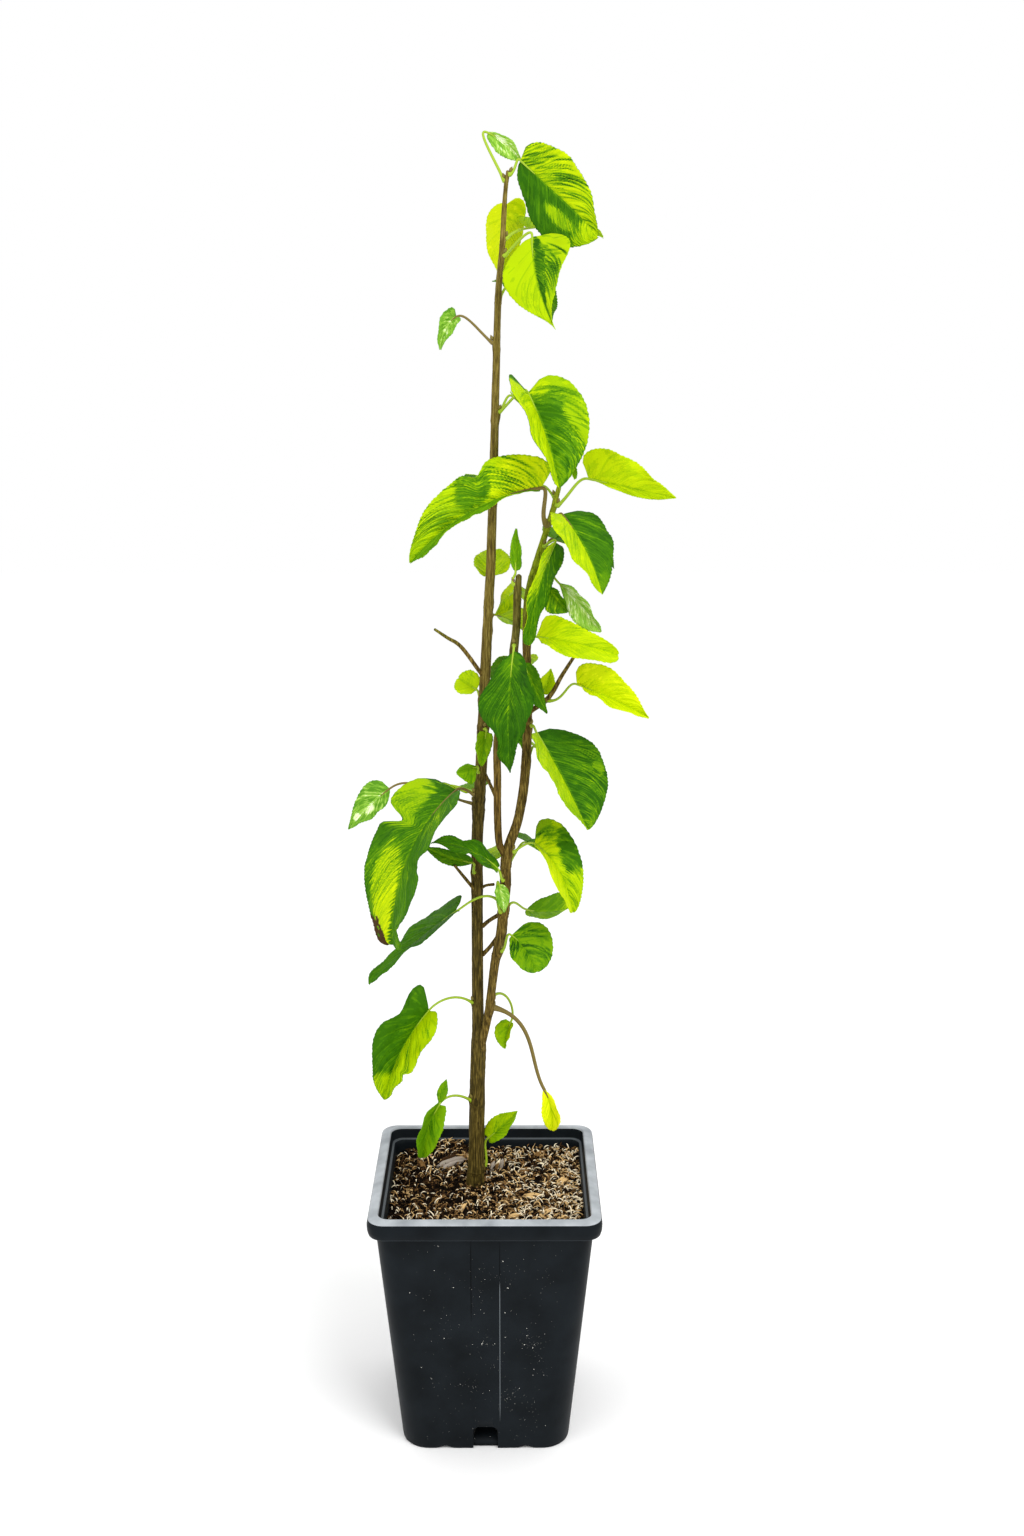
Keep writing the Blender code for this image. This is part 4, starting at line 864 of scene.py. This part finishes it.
def blade_grid(leaf, base, seed):
    """The blade's middle surface, with each point's place t up the rows, u along and v across the blade.

    The rows run with the side veins: u is t, and further on by the slant times v, most before mid-blade. A point
    is the midrib's point, plus v times the half width sideways and up the fold, less the share that reaches
    back to make the heart-shaped base. Relief along the surface's normal is the bulge between the veins, a
    wave that grows to the margin, and small wrinkles.
    """
    dealt = np.random.default_rng(seed)
    length = leaf["length"]
    rows = int(np.clip(length * 1.7, 24, 180))
    cols = int(np.clip(max(leaf["left"], leaf["right"]) * 0.8, 5, 30))
    even = np.linspace(0, 1, rows + 2)[1:-1, None]
    t = 0.65 * even + 0.175 * (1 - np.cos(pi * even))
    v = np.linspace(-1, 1, 2 * cols + 1)[None]
    u = t + VEIN_SLANT * abs(v) * np.sin(pi * t ** 0.75)
    points, along, aside, above = midrib(u, base, leaf)
    fold = np.radians(leaf["fold"])
    width = np.where(v > 0, half_width(u, leaf, "left"), half_width(u, leaf, "right"))
    run = u * length * 1.2 / TOOTH_PITCH + dealt.uniform(0, 1) + 0.4 * np.sin(9 * u)
    tooth = (run % 1) * TOOTH_DEPTH * np.clip(width / 8, 0.25, 1) * np.clip((abs(v) - 0.72) / 0.28, 0, 1) ** 2
    side = v * (width + tooth)
    reach = leaf.get("heart", HEART) * length
    back = reach * abs(side) / max(leaf["left"], leaf["right"]) * (1 - u) ** 4
    phase = t * max(4, round(length / VEIN_SPACE)) + 0 * v
    size = np.clip(length / 80, 0.4, 1.2)
    bulge = abs(np.sin(pi * phase)) ** 0.7 * np.clip(abs(side) / 6, 0, 1) * (1 - 0.6 * abs(v) ** 3)
    wave = np.sin(2 * pi * (u * dealt.uniform(2.0, 3.0) + dealt.uniform(0, 1) + 0.3 * np.sign(v)))
    ridges = rough(side * 0.25 + 9 * seed, t * length, 4, 60 + seed, 2)
    broad = rough(side + 9 * seed, u * length, 26, 70 + seed, 2)
    lift = size * (0.6 * bulge + 1.4 * wave * abs(v) ** 3 + 0.3 * ridges + 1.2 * broad * abs(v))
    lift -= 0.35 * np.exp(-(side / 1.1) ** 2)
    out = np.cos(fold) * aside + np.sign(v)[..., None] * np.sin(fold) * above
    normal = np.cross(along, out)
    grid = points + side[..., None] * out - back[..., None] * along + lift[..., None] * normal
    return grid, (t + 0 * v, u, v + 0 * u, phase)


def shell(grid):
    """A thin closed shell on a grid: the upper surface, the lower one, and a rim of quads round the edge."""
    rows, cols = grid.shape[:2]
    normal = np.cross(np.gradient(grid, axis=0), np.gradient(grid, axis=1))
    normal /= np.linalg.norm(normal, axis=2)[..., None] + 1e-9
    upper, lower = grid + normal * BLADE_THICK / 2, grid - normal * BLADE_THICK / 2
    index = np.arange(rows * cols).reshape(rows, cols)
    quads = np.stack([index[:-1, :-1], index[1:, :-1], index[1:, 1:], index[:-1, 1:]], -1).reshape(-1, 4)
    under = quads[:, ::-1] + rows * cols
    loop = np.concatenate([index[0, :-1], index[:-1, -1], index[-1, :0:-1], index[:0:-1, 0]])
    after = np.roll(loop, -1)
    edge = np.stack([loop, after, after + rows * cols, loop + rows * cols], -1)
    return np.concatenate([upper.reshape(-1, 3), lower.reshape(-1, 3)]), [quads, under, edge]


def stroke_field(leaf, t, v, seed):
    """How far each place lies on a fine stroke, from 0 to 1, and the same beside it.

    Strokes gather in bundles. Each runs along a row, between the midrib and the margin, as a bell-shaped
    ridge across itself that fades towards its two ends.
    """
    dealt = np.random.default_rng(300 + seed)
    on, beside = np.zeros(t.shape), np.zeros(t.shape)
    for sign, half in ((1, leaf["left"]), (-1, leaf["right"])):
        count = int(8 + leaf["length"] * half * STROKES_PER_AREA)
        bundle = dealt.uniform(0.03, 0.97, int(3 + leaf["length"] / 8))
        place = dealt.choice(bundle, count) + dealt.normal(0, 2.2 / leaf["length"], count)
        middle, reach = dealt.uniform(0.05, 0.95, count), dealt.uniform(0.1, 0.5, count)
        wide, deep = dealt.uniform(*STROKE_WIDTHS, count) / leaf["length"], dealt.uniform(0.3, 1, count)
        lean = dealt.normal(0.14, 2.5 / leaf["length"], count)
        one = [a[:, None, None] for a in (place, middle, reach, wide, deep, lean)]
        off = t - one[0] - one[5] * (abs(v) - one[1])
        fade = one[4] * np.clip(1.3 * (1 - ((abs(v) - one[1]) / one[2]) ** 2), 0, 1) * (sign * v > 0)
        on = np.maximum(on, (fade * np.exp(-(off / one[3]) ** 2)).max(0))
        beside = np.maximum(beside, (fade * np.exp(-((off - 2.2 * one[3]) / one[3]) ** 2)).max(0))
    return on, beside * (1 - on)


def blade_tones(leaf, places, look, seed):
    """The number of each quad's finish: its half's tone of painted sunlight and shade, blended into the patches of
    painted light and shadow, darker or lighter along the strokes where they gather, and a little apart along the veins,
    as painted shade and light."""
    t, u, v, phase = [(a[:-1, :-1] + a[1:, 1:]) / 2 for a in places]
    family, left, right, left_strokes, right_strokes, patches = look
    wide, long = v * 20 + 40 * seed, u * leaf["length"]
    grain = rough(wide, long, 11, 120 + seed, 2)
    strokes = rough(wide * 0.14, t * leaf["length"], 2.3, 90 + seed, 2) + 0.25 * grain
    gather = np.clip(0.5 + 1.2 * rough(wide, long, 34, 150 + seed, 1), 0.05, 1)
    # Each half's tone is painted light and shade: bright where the sun shines through it, dark where it lies in shade.
    tone = np.where(v > 0, left, right) + 0.0 * u
    # Patches blend in painted pools of light shining through and painted shadows.
    for level, along, across, half_long, half_wide in patches:
        away = ((u - along) / half_long) ** 2 + ((v - across) / half_wide) ** 2 + 0.7 * strokes
        tone += np.clip((1.25 - away) / 0.5, 0, 1) * (level - tone)
    # Quilting strokes: painted shade on the lit tones and painted light on the shaded ones, as the bulges between the
    # veins turn to and from the sun.
    strength = np.where(v > 0, left_strokes, right_strokes) * gather
    bright = np.clip((tone - 2.2) / 1.5, 0, 1)
    tone += strength * (1.1 - 2.2 * bright) * np.clip((strokes - 0.12) / 0.3, 0, 1) ** 1.5
    # Fine strokes: painted shade lines on the lit tones and lighter lines on the shaded ones, with a painted highlight
    # beside each on the lit tones and a darker edge on the shaded ones.
    on, beside = stroke_field(leaf, t, v, seed)
    share = np.where(v > 0, left_strokes, right_strokes) * np.clip(0.75 + 0.9 * rough(wide, long, 40, 210 + seed, 1), 0.15, 1.3)
    tone += share * ((1.7 - 5.0 * bright) * on + (0.8 * bright - 0.5) * beside)
    tone += 0.3 * grain
    # Along the side veins and the midrib: painted shade on the lit halves, lighter lines on the shaded ones.
    beside_vein = abs(phase - np.round(phase)) * VEIN_SPACE
    tone += np.where(beside_vein < 0.5, 0.6 - 1.0 * bright, 0) * (abs(v) < 0.85)
    tone += np.where(abs(v) * max(leaf["left"], leaf["right"]) < 0.8, 0.9 - 1.5 * bright, 0)
    if family == "pale":
        numbers = np.clip(np.round(2 * tone), 0, 2 * len(PALE) - 2).astype(int) + FIRST_PALE
    else:
        numbers = np.clip(np.round(2 * tone), 0, FIRST_PALE - 1).astype(int)
    if leaf["name"] in SCORCH:
        along, across, half_long, half_wide = SCORCH[leaf["name"]]
        burnt = ((u - along) / half_long) ** 2 + ((v - across) / half_wide) ** 2 + 1.2 * grain < 1
        numbers[burnt] = BROWN
    return numbers


CROWN = {
    "top_leaves": lambda leaf: leaf["height"] > 600, "upper_leaves": lambda leaf: 500 < leaf["height"] <= 600,
    "middle_leaves": lambda leaf: 400 < leaf["height"] <= 500, "lower_leaves": lambda leaf: 280 < leaf["height"] <= 400,
    "foot_leaves": lambda leaf: leaf["height"] <= 280}
for name, belongs in CROWN.items():
    parts, picks, stands_for = [], [], []
    for seed, leaf in enumerate(leaves):
        if not belongs(leaf):
            continue
        stands_for.append("leaf_" + leaf["name"])
        base = stalk_line(leaf, 7)[-1]
        blades = [leaf]
        if "leaflet" in leaf:
            heading, length, dip, half = leaf["leaflet"]
            blades.append({"name": leaf["name"], "heading": heading, "length": length, "dip": dip, "sag": -8,
                           "roll": 70, "fold": 14, "left": half, "left_belly": .5, "right": half,
                           "right_belly": .5, "heart": 0})
        for blade in blades:
            grid, places = blade_grid(blade, base, seed)
            points, faces = shell(grid)
            look = LOOKS.get(leaf["name"]) or BACK_LOOKS[seed % len(BACK_LOOKS)]
            tones = blade_tones(blade, places, look, seed).ravel()
            parts.append((points, faces))
            picks.append([tones, tones, np.full(len(faces[2]), tones[0])])
    shift = np.cumsum([0] + [len(p) for p, _ in parts])
    group = add_mesh(name, np.concatenate([p for p, _ in parts]),
                     [face + s for s, (_, faces) in zip(shift, parts) for face in faces],
                     BLADE_FINISHES, [p for pick in picks for p in pick])
    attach(group, "root")
    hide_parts(*stands_for)

# The studio: a pale floor, a white sky, a broad soft key light from above on the right and a weak fill.
FLOOR_WHITE = (255, 255, 255)
LIGHTS = [("key", (0.7, -1.2, 1.9), (45, 0, 30), 19.5, 0.9), ("fill", (-1.3, -1.2, 1.3), (60, 0, -48), 6, 1.4)]
bpy.ops.mesh.primitive_plane_add(size=14)
floor = bpy.context.object
floor.name = "floor"
floor.data.materials.append(plain("floor white", FLOOR_WHITE, 0.9, 0))
sky = bpy.data.worlds.new("studio")
sky.use_nodes = True
sky.node_tree.nodes["Background"].inputs["Color"].default_value = (1, 1, 1, 1)
sky.node_tree.nodes["Background"].inputs["Strength"].default_value = 1.0
bpy.context.scene.world = sky
bpy.context.scene.view_settings.view_transform = "Standard"
for name, place, aim, power, size in LIGHTS:
    lamp = bpy.data.lights.new(name, "AREA")
    lamp.energy = power
    lamp.size = size
    holder = bpy.data.objects.new(name, lamp)
    holder.location = place
    holder.rotation_euler = [radians(a) for a in aim]
    bpy.context.scene.collection.objects.link(holder)

# The camera stands in front of the pot, a little above the middle of the crown, and looks down on it.
camera_data = bpy.data.cameras.new("camera")
camera_data.sensor_width = 36
camera_data.lens = 38.43
camera = bpy.data.objects.new("camera", camera_data)
camera.location = (0.0183, -1.2235, 0.8077)
camera.rotation_euler = (radians(77.62), 0, radians(-0.13))
bpy.context.scene.collection.objects.link(camera)
bpy.context.scene.camera = camera
